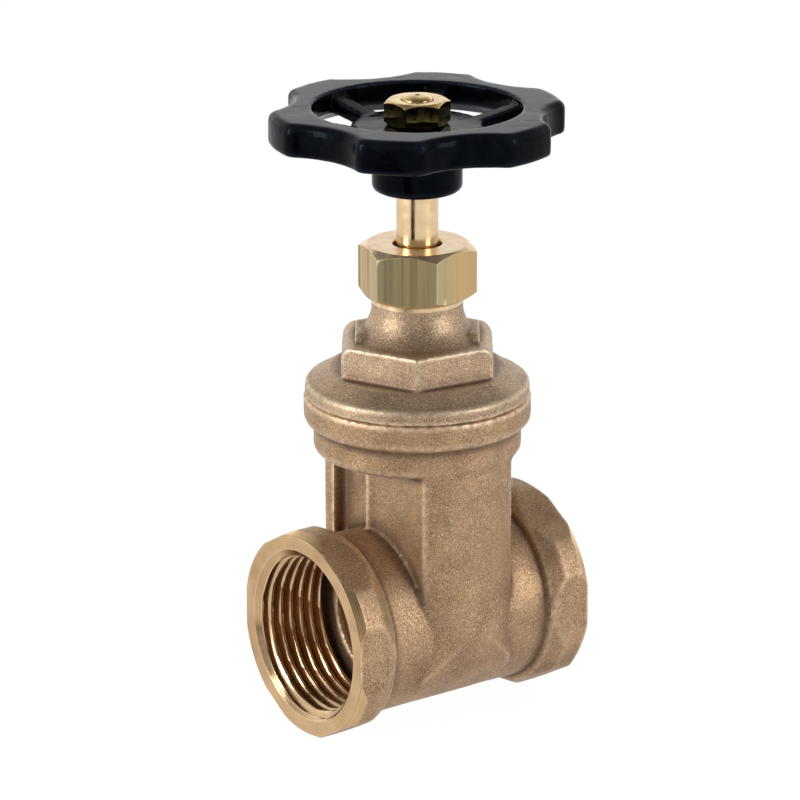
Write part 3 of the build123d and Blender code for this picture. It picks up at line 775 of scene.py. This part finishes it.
@dataclass(frozen=True)
class Casting:
    """A sand casting made from a CAD solid: edges rounded, faces slightly uneven."""

    node: str
    name: str
    voxel: float
    rounds: int
    reshape: Callable[[np.ndarray], np.ndarray] | None = None  # moves the solid's own points
    soften: Callable[[np.ndarray], np.ndarray] | None = None  # moves the even squares' points
    unevenness: float = 0.07 * MM
    waves: tuple[tuple[float, float, int], ...] = ((5.0 * MM, 0.7, 11), (1.3 * MM, 0.3, 12))

    def build(self) -> Piece:
        """Make the casting.

        The solid's mesh is merged, remade in even small squares, and relaxed, which rounds its edges. Then
        each point moves along its normal by a smooth random amount.

        Returns:
            The new object.
        """
        mesh = frame["nodes"][self.node].data.copy()
        mesh.name = self.name
        work = bmesh.new()
        work.from_mesh(mesh)
        bmesh.ops.remove_doubles(work, verts=work.verts, dist=2e-6)
        work.to_mesh(mesh)
        work.free()
        if self.reshape:
            set_points(mesh, self.reshape(read(mesh.vertices, "co")))
        mesh.materials.clear()
        piece = link_piece(self.name, mesh)
        remesh = piece.modifiers.new("even_squares", "REMESH")
        remesh.mode = "VOXEL"
        remesh.voxel_size = self.voxel
        relax = piece.modifiers.new("rounded_edges", "SMOOTH")
        relax.factor = 0.5
        relax.iterations = self.rounds
        finished(piece)
        if self.soften:
            set_points(piece.data, self.soften(read(piece.data.vertices, "co")))
        self.roughen(piece.data)
        mark_edges(piece)
        return piece

    def roughen(self, mesh: Mesh) -> None:
        """Move each point along its normal by smooth noise: waves gives each size's cell, share and seed.

        Args:
            mesh: the casting's mesh.
        """
        points = read(mesh.vertices, "co")
        shift = sum(share * lattice_noise(points, cell, seed) for cell, share, seed in self.waves)
        moved = points + read(mesh.vertex_normals, "vector") * (self.unevenness * shift)[:, None]
        set_points(mesh, moved if self.reshape else inside_box(moved, self.node))


@dataclass(frozen=True)
class PipeThread:
    """The space that a lathe cuts into one end of the body, as a solid to take away."""

    side: int
    crest_radius: float = CREST_RADIUS
    root_radius: float = 16.625 * MM
    pitch: float = 2.309 * MM
    turns: int = 6
    mouth_depth: float = 0.7 * MM
    mouth_radius: float = 16.825 * MM
    relief_radius: float = 16.85 * MM
    relief_length: float = 1.8 * MM
    passage_radius: float = 12.4 * MM
    passage_end: float = 6.9 * MM
    face: float = 27.0 * MM
    edge_radius: float = 19.72 * MM
    chamfer_slope: float = 0.62
    chamfer_spare: float = 4.5 * MM
    disc_radius: float = 24.0 * MM
    disc_spare: float = 4.0 * MM
    columns: int = 144
    steps_a_turn: int = 12

    def chamfer_radius(self, along: np.ndarray | float) -> np.ndarray | float:
        """Radius of the cone that trims the hexagon's corners: it grows evenly behind the end face."""
        return self.edge_radius + self.chamfer_slope * (self.face - along)

    def thread_radius(self, along: float, turn: np.ndarray) -> np.ndarray:
        """Work out the radius of the screw-cut wall, or of the mouth's cone where that is wider.

        Along the axis the wall runs from crest to root and back once a pitch, as a triangle wave with its
        points flattened and its corners rounded by smoothstep. The wave moves on by one pitch in a turn.

        Args:
            along: distance from the pipe's middle.
            turn: angles round the axis, as shares of a turn.

        Returns:
            The radius at each angle.
        """
        phase = (self.face - self.mouth_depth - along) / self.pitch + self.side * turn
        wave = 1.0 - np.abs(2.0 * (phase - np.floor(phase)) - 1.0)
        height = np.clip((wave - 0.22) / 0.66, 0.0, 1.0)
        height = height * 0.55 + height * height * (3.0 - 2.0 * height) * 0.45
        wall = self.crest_radius + (self.root_radius - self.crest_radius) * height
        return np.maximum(wall, self.mouth_radius - (self.face - along))

    def cutter(self) -> Piece:
        """Make the solid: passage, relief, thread, mouth, and a disc beyond the end face and its chamfer.

        Returns:
            The new object.
        """
        start = self.face - self.mouth_depth - self.turns * self.pitch
        relief_end = start - self.relief_length
        turn = np.arange(self.columns) / self.columns
        rows = [(0.0, self.passage_end), (self.passage_radius, self.passage_end)]
        rows += [(self.passage_radius, relief_end), (self.relief_radius, relief_end)]
        rows += [(self.relief_radius, start)]
        for along in np.linspace(start, self.face, self.turns * self.steps_a_turn + 6):
            rows.append((self.thread_radius(along, turn), along))
        behind, beyond = self.face - self.chamfer_spare, self.face + self.disc_spare
        rows += [(self.edge_radius, self.face), (self.chamfer_radius(behind), behind)]
        rows += [(self.disc_radius, beyond), (0.0, beyond)]
        radius, place = ring_table(rows, self.columns)
        angle = FULL_TURN * turn
        across = [radius * np.cos(angle), PIPE_HEIGHT + radius * np.sin(angle)]
        return closed_piece("thread_cutter", np.stack([self.side * place, *across], axis=-1))

    def cut(self, piece: Piece) -> None:
        """Take this space away from a piece.

        Args:
            piece: the casting.
        """
        tool = self.cutter()
        cut = piece.modifiers.new("cut", "BOOLEAN")
        cut.operation = "DIFFERENCE"
        cut.solver = "MANIFOLD"
        cut.object = tool
        finished(piece)
        bpy.data.objects.remove(tool)


@dataclass(frozen=True)
class ValveBody:
    """The body casting with its machined ends and pipe threads."""

    voxel: float = 0.54 * MM
    rounds: int = 2
    threads: tuple[PipeThread, PipeThread] = (PipeThread(-1), PipeThread(1))
    bore_wall: float = 14.6 * MM
    bore_inner: float = 10.55 * MM
    thread_reach: tuple[float, float] = (14.0 * MM, 17.0 * MM)
    spare_length: float = 1.2 * MM
    machined_from: float = 10.7 * MM
    chamfer_reach: float = 2.0 * MM
    face_slack: float = 0.02 * MM
    chamfer_slack: float = 0.04 * MM

    def reshape(self, points: np.ndarray) -> np.ndarray:
        """Close the threads down to a plain small bore, and leave spare metal on the end faces.

        Points in a thread move along their radius to the bore's wall, and those of an end face move
        outwards along the pipe axis.

        Args:
            points: the CAD solid's points.

        Returns:
            The moved points.
        """
        moved = points.copy()
        across = points[:, 1:] - (0.0, PIPE_HEIGHT)
        radial = np.linalg.norm(across, axis=1)
        least, most = self.thread_reach
        thread = (np.abs(points[:, 0]) > self.bore_inner) & (radial > least) & (radial < most)
        shrink = np.where(thread, self.bore_wall / np.maximum(radial, MM), 1.0)
        moved[:, 1:] = across * shrink[:, None] + (0.0, PIPE_HEIGHT)
        end = np.abs(points[:, 0]) > self.threads[0].face - 0.2 * MM
        moved[:, 0] += np.where(end, np.sign(points[:, 0]) * self.spare_length, 0.0)
        return moved

    def cut_faces(self, mesh: Mesh) -> np.ndarray:
        """Tell the faces apart by what made them.

        Args:
            mesh: the machined body.

        Returns:
            For each face 0 for the skin, 1 for an end face or its chamfer, 2 for a thread or a relief.
        """
        centres = read(mesh.polygons, "center")
        radial = np.linalg.norm(centres[:, 1:] - (0.0, PIPE_HEIGHT), axis=1)
        along = np.abs(centres[:, 0])
        thread = self.threads[0]
        chamfer = np.abs(radial - thread.chamfer_radius(along)) < self.chamfer_slack
        chamfer &= along > thread.face - self.chamfer_reach
        end = (along > thread.face - self.face_slack) | chamfer
        bore = (radial < self.thread_reach[1]) & (along > self.machined_from) & ~end
        return end * 1 + bore * 2

    def build(self, cast: Material, faced: Material, screwed: Material) -> None:
        """Cast the body, machine its ends, and dress it.

        Args:
            cast: material of the skin.
            faced: material of the end faces and their chamfers.
            screwed: material of the threads and the reliefs behind them.
        """
        piece = Casting("valve_body", "body_casting", self.voxel, self.rounds, reshape=self.reshape).build()
        for thread in self.threads:
            thread.cut(piece)
        set_points(piece.data, inside_box(read(piece.data.vertices, "co"), "valve_body"))
        mark_edges(piece)
        paint_faces(piece, [cast, faced, screwed], self.cut_faces(piece.data))
        shade(piece, 35.0)
        sharpen_borders(piece)
        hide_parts("valve_body")
        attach(piece, Body.VALVE.value)
        log.info("body casting: %d faces", len(piece.data.polygons))


@dataclass(frozen=True)
class Bonnet:
    """The bonnet casting and the turned collar and screw thread on top of its neck."""

    voxel: float = 0.36 * MM
    rounds: int = 5
    collar_radius: float = 8.80 * MM
    collar_bottom: float = 62.1 * MM  # above the pipe axis, as the next two
    collar_top: float = 63.35 * MM
    thread_top: float = 66.6 * MM
    thread_radius: float = 7.95 * MM
    bore_radius: float = 6.25 * MM
    chamfer: float = 0.25 * MM
    columns: int = 96
    hexagon_turn_degrees: float = 54.2  # from +X to a corner
    hexagon_half: float = 14.4 * MM
    hexagon_top: float = 55.5 * MM  # above the pipe axis
    shoulder_round: float = 2.6 * MM

    def round_shoulders(self, points: np.ndarray) -> np.ndarray:
        """Round the hexagon's top edge over the two flats at which the shoulders end.

        Above the height where the rounding starts, no point may stand farther out than a quarter circle.

        Args:
            points: the casting's points.

        Returns:
            The moved points.
        """
        turn = math.radians(self.hexagon_turn_degrees + 90.0)
        out = np.array([math.cos(turn), math.sin(turn)])
        along = points[:, :2] @ out
        rise = points[:, 2] - PIPE_HEIGHT - (self.hexagon_top - self.shoulder_round)
        rise = np.clip(rise, 0.0, self.shoulder_round)
        limit = self.hexagon_half - self.shoulder_round + np.sqrt(self.shoulder_round**2 - rise**2)
        over = np.where(rise > 0.0, np.maximum(np.abs(along) - limit, 0.0), 0.0)
        moved = points.copy()
        moved[:, :2] -= (over * np.sign(along))[:, None] * out
        return moved

    def build(self, cast: Material, turned: Material) -> None:
        """Cast the bonnet, add the turned neck, and dress both.

        Args:
            cast: material of the skin.
            turned: material of the machined neck.
        """
        soften = self.round_shoulders
        piece = Casting("bonnet", "bonnet_casting", self.voxel, self.rounds, soften=soften).build()
        piece.data.materials.append(cast)
        shade(piece, 60.0)
        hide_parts("bonnet")
        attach(piece, Body.VALVE.value)
        log.info("bonnet casting: %d faces", len(piece.data.polygons))
        inner, outer, cut = self.bore_radius, self.collar_radius, self.chamfer
        rows = [(inner, self.collar_bottom), (outer - cut, self.collar_bottom)]
        rows += [(outer, self.collar_bottom + cut), (outer, self.collar_top - cut)]
        rows += [(outer - cut, self.collar_top), (self.thread_radius, self.collar_top)]
        rows += [(self.thread_radius, self.thread_top), (inner, self.thread_top)]
        neck = upright_piece("neck_collar", rows, even_turn(self.columns), PIPE_HEIGHT)
        neck.data.materials.append(turned)
        shade(neck, 30.0)
        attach(neck, Body.VALVE.value)
        log.info("neck collar: %d faces", len(neck.data.polygons))


@dataclass(frozen=True)
class Handwheel:
    """The painted handwheel."""

    voxel: float = 0.40 * MM
    rounds: int = 6

    def build(self, paint: Material) -> None:
        """Cast the wheel and dress it.

        Args:
            paint: the paint's material.
        """
        piece = Casting("handwheel", "handwheel_casting", self.voxel, self.rounds).build()
        piece.data.materials.append(paint)
        shade(piece, 180.0)
        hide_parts("handwheel")
        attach(piece, Body.STEM_AND_WHEEL.value)
        log.info("handwheel casting: %d faces", len(piece.data.polygons))


# ---- nuts and stem -----------------------------------------------------------------------------------------


@dataclass(frozen=True)
class HexNut:
    """A hexagon nut turned from bar, with its corners chamfered at both ends."""

    node: str
    name: str
    body: Body
    across_flats: float
    hole_radius: float
    turn_degrees: float
    corner_round: float = 0.25 * MM
    chamfer_degrees: float = 30.0
    face_share: float = 0.95
    lip: float = 0.2 * MM
    broken_edge: float = 0.09 * MM
    arc_points: int = 5
    flat_points: int = 15
    side_points: int = 5

    def outline(self) -> tuple[np.ndarray, np.ndarray]:
        """Work out the hexagon's outline with rounded corners.

        Each flat is a run of points from one corner's tangent point to the next, and each corner is a
        circular arc about a centre drawn in along its bisector.

        Returns:
            The outline's distances from the axis, and its angles.
        """
        reach = (self.across_flats / 2 - self.corner_round) / math.cos(math.pi / 6)
        corner_angle = np.radians(60.0 * np.arange(6) + 30.0)
        centre = reach * np.stack([np.cos(corner_angle), np.sin(corner_angle)], axis=-1)
        sweep = np.radians(np.linspace(-30.0, 30.0, self.arc_points))
        heading = corner_angle[:, None] + sweep[None, :]
        arcs = self.corner_round * np.stack([np.cos(heading), np.sin(heading)], axis=-1) + centre[:, None, :]
        share = np.linspace(0.0, 1.0, self.flat_points + 2)[1:-1][None, :, None]
        flats = arcs[:, -1:, :] * (1.0 - share) + np.roll(arcs, -1, axis=0)[:, :1, :] * share
        ring = np.concatenate([arcs, flats], axis=1).reshape(-1, 2)
        return np.hypot(ring[:, 0], ring[:, 1]), np.arctan2(ring[:, 1], ring[:, 0])

    def rows(self, radius: np.ndarray, face: float) -> list[Row]:
        """Work out the profile, up the outside and down the hole.

        At every angle the side stands at the hexagon's outline, and it ends where the chamfer's cone
        meets it.

        Args:
            radius: the outline's distances from the axis.
            face: radius of the end faces.

        Returns:
            The rows.
        """
        low, high = (corner[2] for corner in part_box(self.node))
        drop = (radius - face) * math.tan(math.radians(self.chamfer_degrees))
        cone = [(face + (radius - face) * share, drop * share) for share in (0.0, 0.35, 0.7, 1.0)]
        rows = [(out, low + rise) for out, rise in cone]
        for share in np.linspace(0.0, 1.0, self.side_points + 2)[1:-1]:
            rows.append((radius, (low + drop) * (1.0 - share) + (high - drop) * share))
        rows += [(out, high - rise) for out, rise in reversed(cone)]
        hole, mouth = self.hole_radius, self.hole_radius + self.lip
        return rows + [(mouth, high), (hole, high - self.lip), (hole, low + self.lip), (mouth, low)]

    def build(self, bar: Material, turned: Material) -> None:
        """Make the nut and dress it.

        Args:
            bar: material of the flats.
            turned: material of the chamfers and end faces.
        """
        radius, angle = self.outline()
        face = self.across_flats / 2 * self.face_share
        heading = angle + math.radians(self.turn_degrees - 30.0)
        piece = upright_piece(self.name, self.rows(radius, face), heading)
        upright = np.abs(read(piece.data.polygons, "normal")[:, 2]) < 0.2
        outside = np.linalg.norm(read(piece.data.polygons, "center")[:, :2], axis=1) > face * 0.98
        paint_faces(piece, [turned, bar], upright & outside)
        shade(piece, 20.0)
        bevel = piece.modifiers.new("broken_edges", "BEVEL")
        bevel.width = self.broken_edge
        bevel.segments = 2
        bevel.limit_method = "ANGLE"
        bevel.angle_limit = math.radians(22.0)
        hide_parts(self.node)
        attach(piece, self.body.value)
        log.info("%s: %d faces", self.name, len(piece.data.polygons))


@dataclass(frozen=True)
class ScrewThread:
    """An outside screw thread, one start or several; starts is below 0 for a left-hand thread."""

    crest: float
    root: float
    pitch: float
    starts: int
    rows_a_pitch: int = 10

    def rows(self, bottom: float, top: float, columns: int) -> list[Row]:
        """Work out the thread's rows.

        The radius runs from root to crest and back once a pitch, as a triangle wave with its points
        flattened, and the wave moves on by one pitch a start in a turn. It fades out at both ends.

        Args:
            bottom: the height where it begins.
            top: the height where it stops.
            columns: number of points round the axis.

        Returns:
            The rows.
        """
        turn = np.arange(columns) / columns
        rows = []
        for height in np.linspace(bottom, top, round((top - bottom) / self.pitch * self.rows_a_pitch) + 1):
            phase = height / self.pitch - self.starts * turn
            wave = 1.0 - np.abs(2.0 * (phase - np.floor(phase)) - 1.0)
            fade = min(height - bottom, top - height) / (0.6 * self.pitch)
            lift = np.clip((wave - 0.12) / 0.76, 0.0, 1.0) * min(fade, 1.0)
            rows.append((self.root + (self.crest - self.root) * lift, height))
        return rows


@dataclass(frozen=True)
class Stem:
    """The stem: a polished rod with a collar, flats for the wheel, screw threads at both ends, a domed tip.

    Heights are above the pipe axis.
    """

    radius: float = 4.0 * MM
    bottom: float = 13.5 * MM
    bottom_radius: float = 2.5 * MM
    screw: ScrewThread = ScrewThread(3.5 * MM, 2.585 * MM, 1.5 * MM, -2)
    screw_top: float = 50.25 * MM
    rod_start: float = 51.25 * MM
    collar: tuple[float, float] = (55.35 * MM, 58.35 * MM)
    collar_radius: float = 5.9 * MM
    collar_chamfer: float = 0.2 * MM
    flats: tuple[float, float] = (88.4 * MM, 96.4 * MM)
    across_flats: float = 6.2 * MM
    flats_turn_degrees: float = -16.2
    shoulder_inner: float = 2.4 * MM
    stud: ScrewThread = ScrewThread(3.0 * MM, 2.39 * MM, 1.0 * MM, 1)
    stud_top: float = 101.2 * MM
    tip_radius: float = 2.9 * MM
    tip_height: float = 0.8 * MM
    top: float = 102.4 * MM
    columns: int = 96

    def square(self, height: float) -> Row:
        """Work out a row of the squared part, whose corners are the rod's own.

        The radius is half the width across the flats, over the larger of the angle's sine and cosine
        without their signs, but no more than the rod's.

        Args:
            height: the row's height.

        Returns:
            The row.
        """
        angle = even_turn(self.columns) - math.radians(self.flats_turn_degrees)
        nearest = np.maximum(np.abs(np.cos(angle)), np.abs(np.sin(angle)))
        return np.minimum(self.radius, self.across_flats / 2 / nearest), height

    def tip(self) -> list[Row]:
        """Work out the domed tip's rows, down into the small dimple of the lathe's centre.

        The dome's profile is a quarter of an ellipse, as wide as the tip's radius and as high as its height.

        Returns:
            The rows.
        """
        rows = [(self.tip_radius, self.stud_top + 0.2 * MM)]
        for share in (1.0, 0.96, 0.88, 0.76, 0.6, 0.42, 0.24):
            drop = self.tip_height * (1.0 - math.sqrt(1.0 - share * share))
            rows.append((self.tip_radius * share, self.top - drop))
        return rows + [(0.5 * MM, self.top), (0.3 * MM, self.top - 0.22 * MM), (0.0, self.top - 0.3 * MM)]

    def rows(self) -> list[Row]:
        """Work out the whole profile, from the bottom to the tip.

        Returns:
            The rows.
        """
        low, high = self.collar
        cut = self.collar_chamfer
        squared, shoulder = self.flats
        rows = [(0.0, self.bottom), (self.bottom_radius, self.bottom)]
        rows += self.screw.rows(self.bottom, self.screw_top, self.columns)
        rows += [(self.radius, self.rod_start), (self.radius, low), (self.collar_radius - cut, low)]
        rows += [(self.collar_radius, low + cut), (self.collar_radius, high - cut)]
        rows += [(self.collar_radius - cut, high), (self.radius, high), (self.radius, squared)]
        rows += [self.square(squared), self.square(shoulder), (self.shoulder_inner, shoulder)]
        return rows + self.stud.rows(shoulder, self.stud_top, self.columns) + self.tip()

    def build(self, polished: Material, turned: Material, gilt: Material) -> None:
        """Turn the stem and dress it.

        Args:
            polished: material of the rod and the collar.
            turned: material of the two screw threads.
            gilt: material of the tip.
        """
        piece = upright_piece("stem_rod", self.rows(), even_turn(self.columns), PIPE_HEIGHT)
        level = read(piece.data.polygons, "center")[:, 2] - PIPE_HEIGHT
        screwed = (level < self.rod_start) | ((level > self.flats[1]) & (level < self.stud_top))
        paint_faces(piece, [polished, turned, gilt], screwed * 1 + (level > self.stud_top) * 2)
        shade(piece, 30.0)
        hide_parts("stem")
        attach(piece, Body.STEM_AND_WHEEL.value)
        log.info("stem: %d faces", len(piece.data.polygons))


# ---- studio ------------------------------------------------------------------------------------------------


@dataclass(frozen=True)
class Softbox:
    """A soft rectangular lamp, placed by its direction and distance from the valve."""

    name: str
    azimuth_degrees: float
    elevation_degrees: float
    watts: float
    reach: float = 0.8
    size: tuple[float, float] = (0.30, 0.6)


@dataclass(frozen=True)
class Studio:
    """White floor, pale surroundings, soft lamps and the camera.

    Each fade gives the two ends of a range and the strengths of the surroundings there.
    """

    camera_target_above_pipe: float = 50.0 * MM
    azimuth_degrees: float = -35.788
    elevation_degrees: float = 17.764
    distance: float = 743.15 * MM
    lens: float = 175.04
    shift: tuple[float, float] = (-0.02162, -0.0481)
    fade_to_front: tuple[float, float, float, float] = (-0.7, 1.0, 0.55, 1.75)
    fade_upwards: tuple[float, float, float, float] = (0.15, 0.85, 1.0, 0.36)
    lamps: tuple[Softbox, ...] = (
        Softbox("left_softbox", -100.0, 16.0, 4.5),
        Softbox("right_softbox", 26.0, 14.0, 2.9),
    )
    lamps_target_height: float = 60.0 * MM
    floor_radius: float = 4.0
    floor_corners: int = 64
    floor_grey: float = 0.62
    floor_glow: float = 1.12
    floor_glow_seen: float = 0.86
    floor_glow_reflected: float = 0.66
    card_azimuth_degrees: float = -60.0
    card_half_degrees: float = 11.0
    card_reach: tuple[float, float] = (0.14, 0.9)
    card_height: float = 1.0 * MM
    card_grey: float = 0.01

    def direction(self, azimuth_degrees: float, elevation_degrees: float) -> Vector:
        """Give the unit vector from the valve to a place round it; azimuth 0 is in front, at -Y."""
        a, e = math.radians(azimuth_degrees), math.radians(elevation_degrees)
        return Vector((math.sin(a) * math.cos(e), -math.cos(a) * math.cos(e), math.sin(e)))

    def aim(self, item: bpy.types.Object, away: Vector, target: Vector) -> None:
        """Add a camera or lamp to the scene and turn it to a target.

        Args:
            item: the camera or lamp.
            away: the way from the target to the item.
            target: what it looks at.
        """
        bpy.context.scene.collection.objects.link(item)
        turn = away.to_track_quat("Z", "Y").to_matrix().to_4x4()
        item.matrix_world = Matrix.Translation(target + away) @ turn

    def camera(self) -> None:
        """Add the camera."""
        data = bpy.data.cameras.new("camera")
        data.lens = self.lens
        data.sensor_width = 36.0
        data.shift_x, data.shift_y = self.shift
        data.clip_start, data.clip_end = 0.01, 50.0
        camera = bpy.data.objects.new("camera", data)
        target = Vector((0.0, 0.0, PIPE_HEIGHT + self.camera_target_above_pipe))
        self.aim(camera, self.direction(self.azimuth_degrees, self.elevation_degrees) * self.distance, target)
        bpy.context.scene.camera = camera

    def lamp(self, softbox: Softbox) -> None:
        """Add a lamp that looks at the valve's middle.

        Args:
            softbox: the lamp's place, size and power.
        """
        data = bpy.data.lights.new(softbox.name, "AREA")
        data.shape = "RECTANGLE"
        data.size, data.size_y = softbox.size
        data.energy = softbox.watts
        away = self.direction(softbox.azimuth_degrees, softbox.elevation_degrees) * softbox.reach
        self.aim(bpy.data.objects.new(softbox.name, data), away, Vector((0.0, 0.0, self.lamps_target_height)))

    def surroundings(self) -> None:
        """Make the world: white to the camera, elsewhere pale at the horizon, darker above and in front."""
        world = bpy.data.worlds.new("studio")
        bpy.context.scene.world = world
        sheet = NodeSheet(world)
        place = sheet.node("TexCoord").outputs["Generated"]
        front = -self.direction(self.azimuth_degrees, 0.0)
        away = sheet.node("VectorMath", {0: place, 1: front}, operation="DOT_PRODUCT").outputs["Value"]
        height = sheet.node("SeparateXYZ", {0: place}).outputs["Z"]
        across = sheet.spread(away, *self.fade_to_front, interpolation="SMOOTHSTEP")
        upwards = sheet.spread(height, *self.fade_upwards, interpolation="SMOOTHSTEP")
        lit = sheet.node("Background", {"Strength": sheet.product(across, upwards)})
        shown = sheet.node("Background", {"Color": WHITE})
        seen = sheet.node("LightPath").outputs["Is Camera Ray"]
        sheet.node("OutputWorld", {"Surface": sheet.blend(seen, lit, shown)})

    def stage_piece(self, name: str, corners: list[Point]) -> tuple[Piece, NodeSheet]:
        """Add a flat piece of one face, with a material that has no nodes yet.

        Args:
            name: its name.
            corners: the face's corners.

        Returns:
            The object and its material's sheet.
        """
        mesh = bpy.data.meshes.new(name)
        mesh.from_pydata(corners, [], [list(range(len(corners)))])
        material = bpy.data.materials.new(name)
        mesh.materials.append(material)
        return link_piece(name, mesh), NodeSheet(material)

    def floor(self) -> None:
        """Add the floor: white to the camera, paler than its own grey in reflections, and partly shaded."""
        angle = even_turn(self.floor_corners)
        ring = np.stack([np.cos(angle), np.sin(angle), np.zeros(self.floor_corners)], axis=-1)
        floor, sheet = self.stage_piece("studio_floor", (ring * self.floor_radius).tolist())
        matt = sheet.node("BsdfDiffuse", {"Color": (*(self.floor_grey,) * 3, 1.0)})
        glow = sheet.node("Emission", {"Strength": self.floor_glow})
        path = sheet.node("LightPath")
        seen = sheet.product(path.outputs["Is Camera Ray"], self.floor_glow_seen)
        reflected = sheet.product(path.outputs["Is Glossy Ray"], self.floor_glow_reflected)
        sheet.node("OutputMaterial", {"Surface": sheet.blend(sheet.sum(seen, reflected), matt, glow)})

    def card(self) -> None:
        """Lay a black card on the floor, seen only in reflections: it draws a dark line on polished rods."""
        near, far = self.card_reach
        corners = []
        for turn, reach in ((-1, near), (1, near), (1, far), (-1, far)):
            way = self.direction(self.card_azimuth_degrees + turn * self.card_half_degrees, 0.0) * reach
            corners.append((way.x, way.y, self.card_height))
        card, sheet = self.stage_piece("middle_card", corners)
        matt = sheet.node("BsdfDiffuse", {"Color": (*(self.card_grey,) * 3, 1.0)})
        sheet.node("OutputMaterial", {"Surface": matt.outputs[0]})
        card.visible_camera = card.visible_diffuse = False
        card.visible_transmission = card.visible_shadow = False

    def build(self) -> None:
        """Set up the whole studio."""
        self.camera()
        self.surroundings()
        self.floor()
        self.card()
        for softbox in self.lamps:
            self.lamp(softbox)
        bpy.context.scene.view_settings.view_transform = "Standard"


# ---- the valve ---------------------------------------------------------------------------------------------


@dataclass(frozen=True)
class GateValve:
    """The whole valve: the pieces that replace CAD solids, and the solids that stay."""

    body: ValveBody = ValveBody()
    bonnet: Bonnet = Bonnet()
    gland_nut: HexNut = HexNut("gland_nut", "gland_nut_bar", Body.VALVE, 20.0 * MM, 4.7 * MM, 12.8)
    handwheel_nut: HexNut = HexNut(
        "handwheel_nut",
        "handwheel_nut_bar",
        Body.STEM_AND_WHEEL,
        11.0 * MM,
        3.05 * MM,
        32.9,
        corner_round=0.15 * MM,
    )
    stem: Stem = Stem()
    handwheel: Handwheel = Handwheel()

    def dress_hidden(self, metals: dict[str, Material]) -> None:
        """Give the CAD solids inside the valve their finishes.

        Args:
            metals: the materials of the metal ones, by node.
        """
        ptfe = PlainPacking("ptfe").material()
        fibre = PlainPacking("fibre_sheet", colour=(0.26, 0.12, 0.08), mottle=(0.16, 0.07, 0.05)).material()
        soft = ("lower_thrust_washer", "upper_thrust_washer")
        soft += ("packing_ring_1", "packing_ring_2", "packing_ring_3")
        for node, material in {"bonnet_gasket": fibre, **dict.fromkeys(soft, ptfe), **metals}.items():
            mesh = frame["nodes"][node].data
            mesh.materials.clear()
            mesh.materials.append(material)
            log.info("%s: CAD solid, finished", node)

    def build(self) -> None:
        """Build and dress every piece."""
        cast = SandCastBronze("sand_cast_bronze").material()
        # the bonnet's lighter copy of the cast bronze is painted light
        pale = BRONZE_PAINTED_LIGHTER.material()
        faced = TurnedBronze("turned_bronze").material()
        screwed = TurnedBronze("screw_cut_bronze", crest_highlight_share=0.85).material()
        drawn = DrawnBrass("drawn_brass").material()
        turned = TurnedBrass("turned_brass").material()
        polished = POLISHED_BRASS.material()
        gilt = GILT_BRASS.material()
        # the handwheel nut's brass, painted dark as a painted reflection
        nut_brass_painted_dark = DRAWN_BRASS_PAINTED_DARK.material()
        paint = GlossPaint("gloss_black_paint").material()
        self.body.build(cast, faced, screwed)
        self.bonnet.build(pale, turned)
        self.gland_nut.build(drawn, turned)
        self.handwheel_nut.build(nut_brass_painted_dark, gilt)
        self.stem.build(polished, turned, gilt)
        self.handwheel.build(paint)
        self.dress_hidden({"gland_follower": turned, "wedge": cast})


def main() -> None:
    """Build the studio and the valve."""
    Studio().build()
    GateValve().build()
    bpy.context.view_layer.update()


if __name__ == "__main__":
    main()
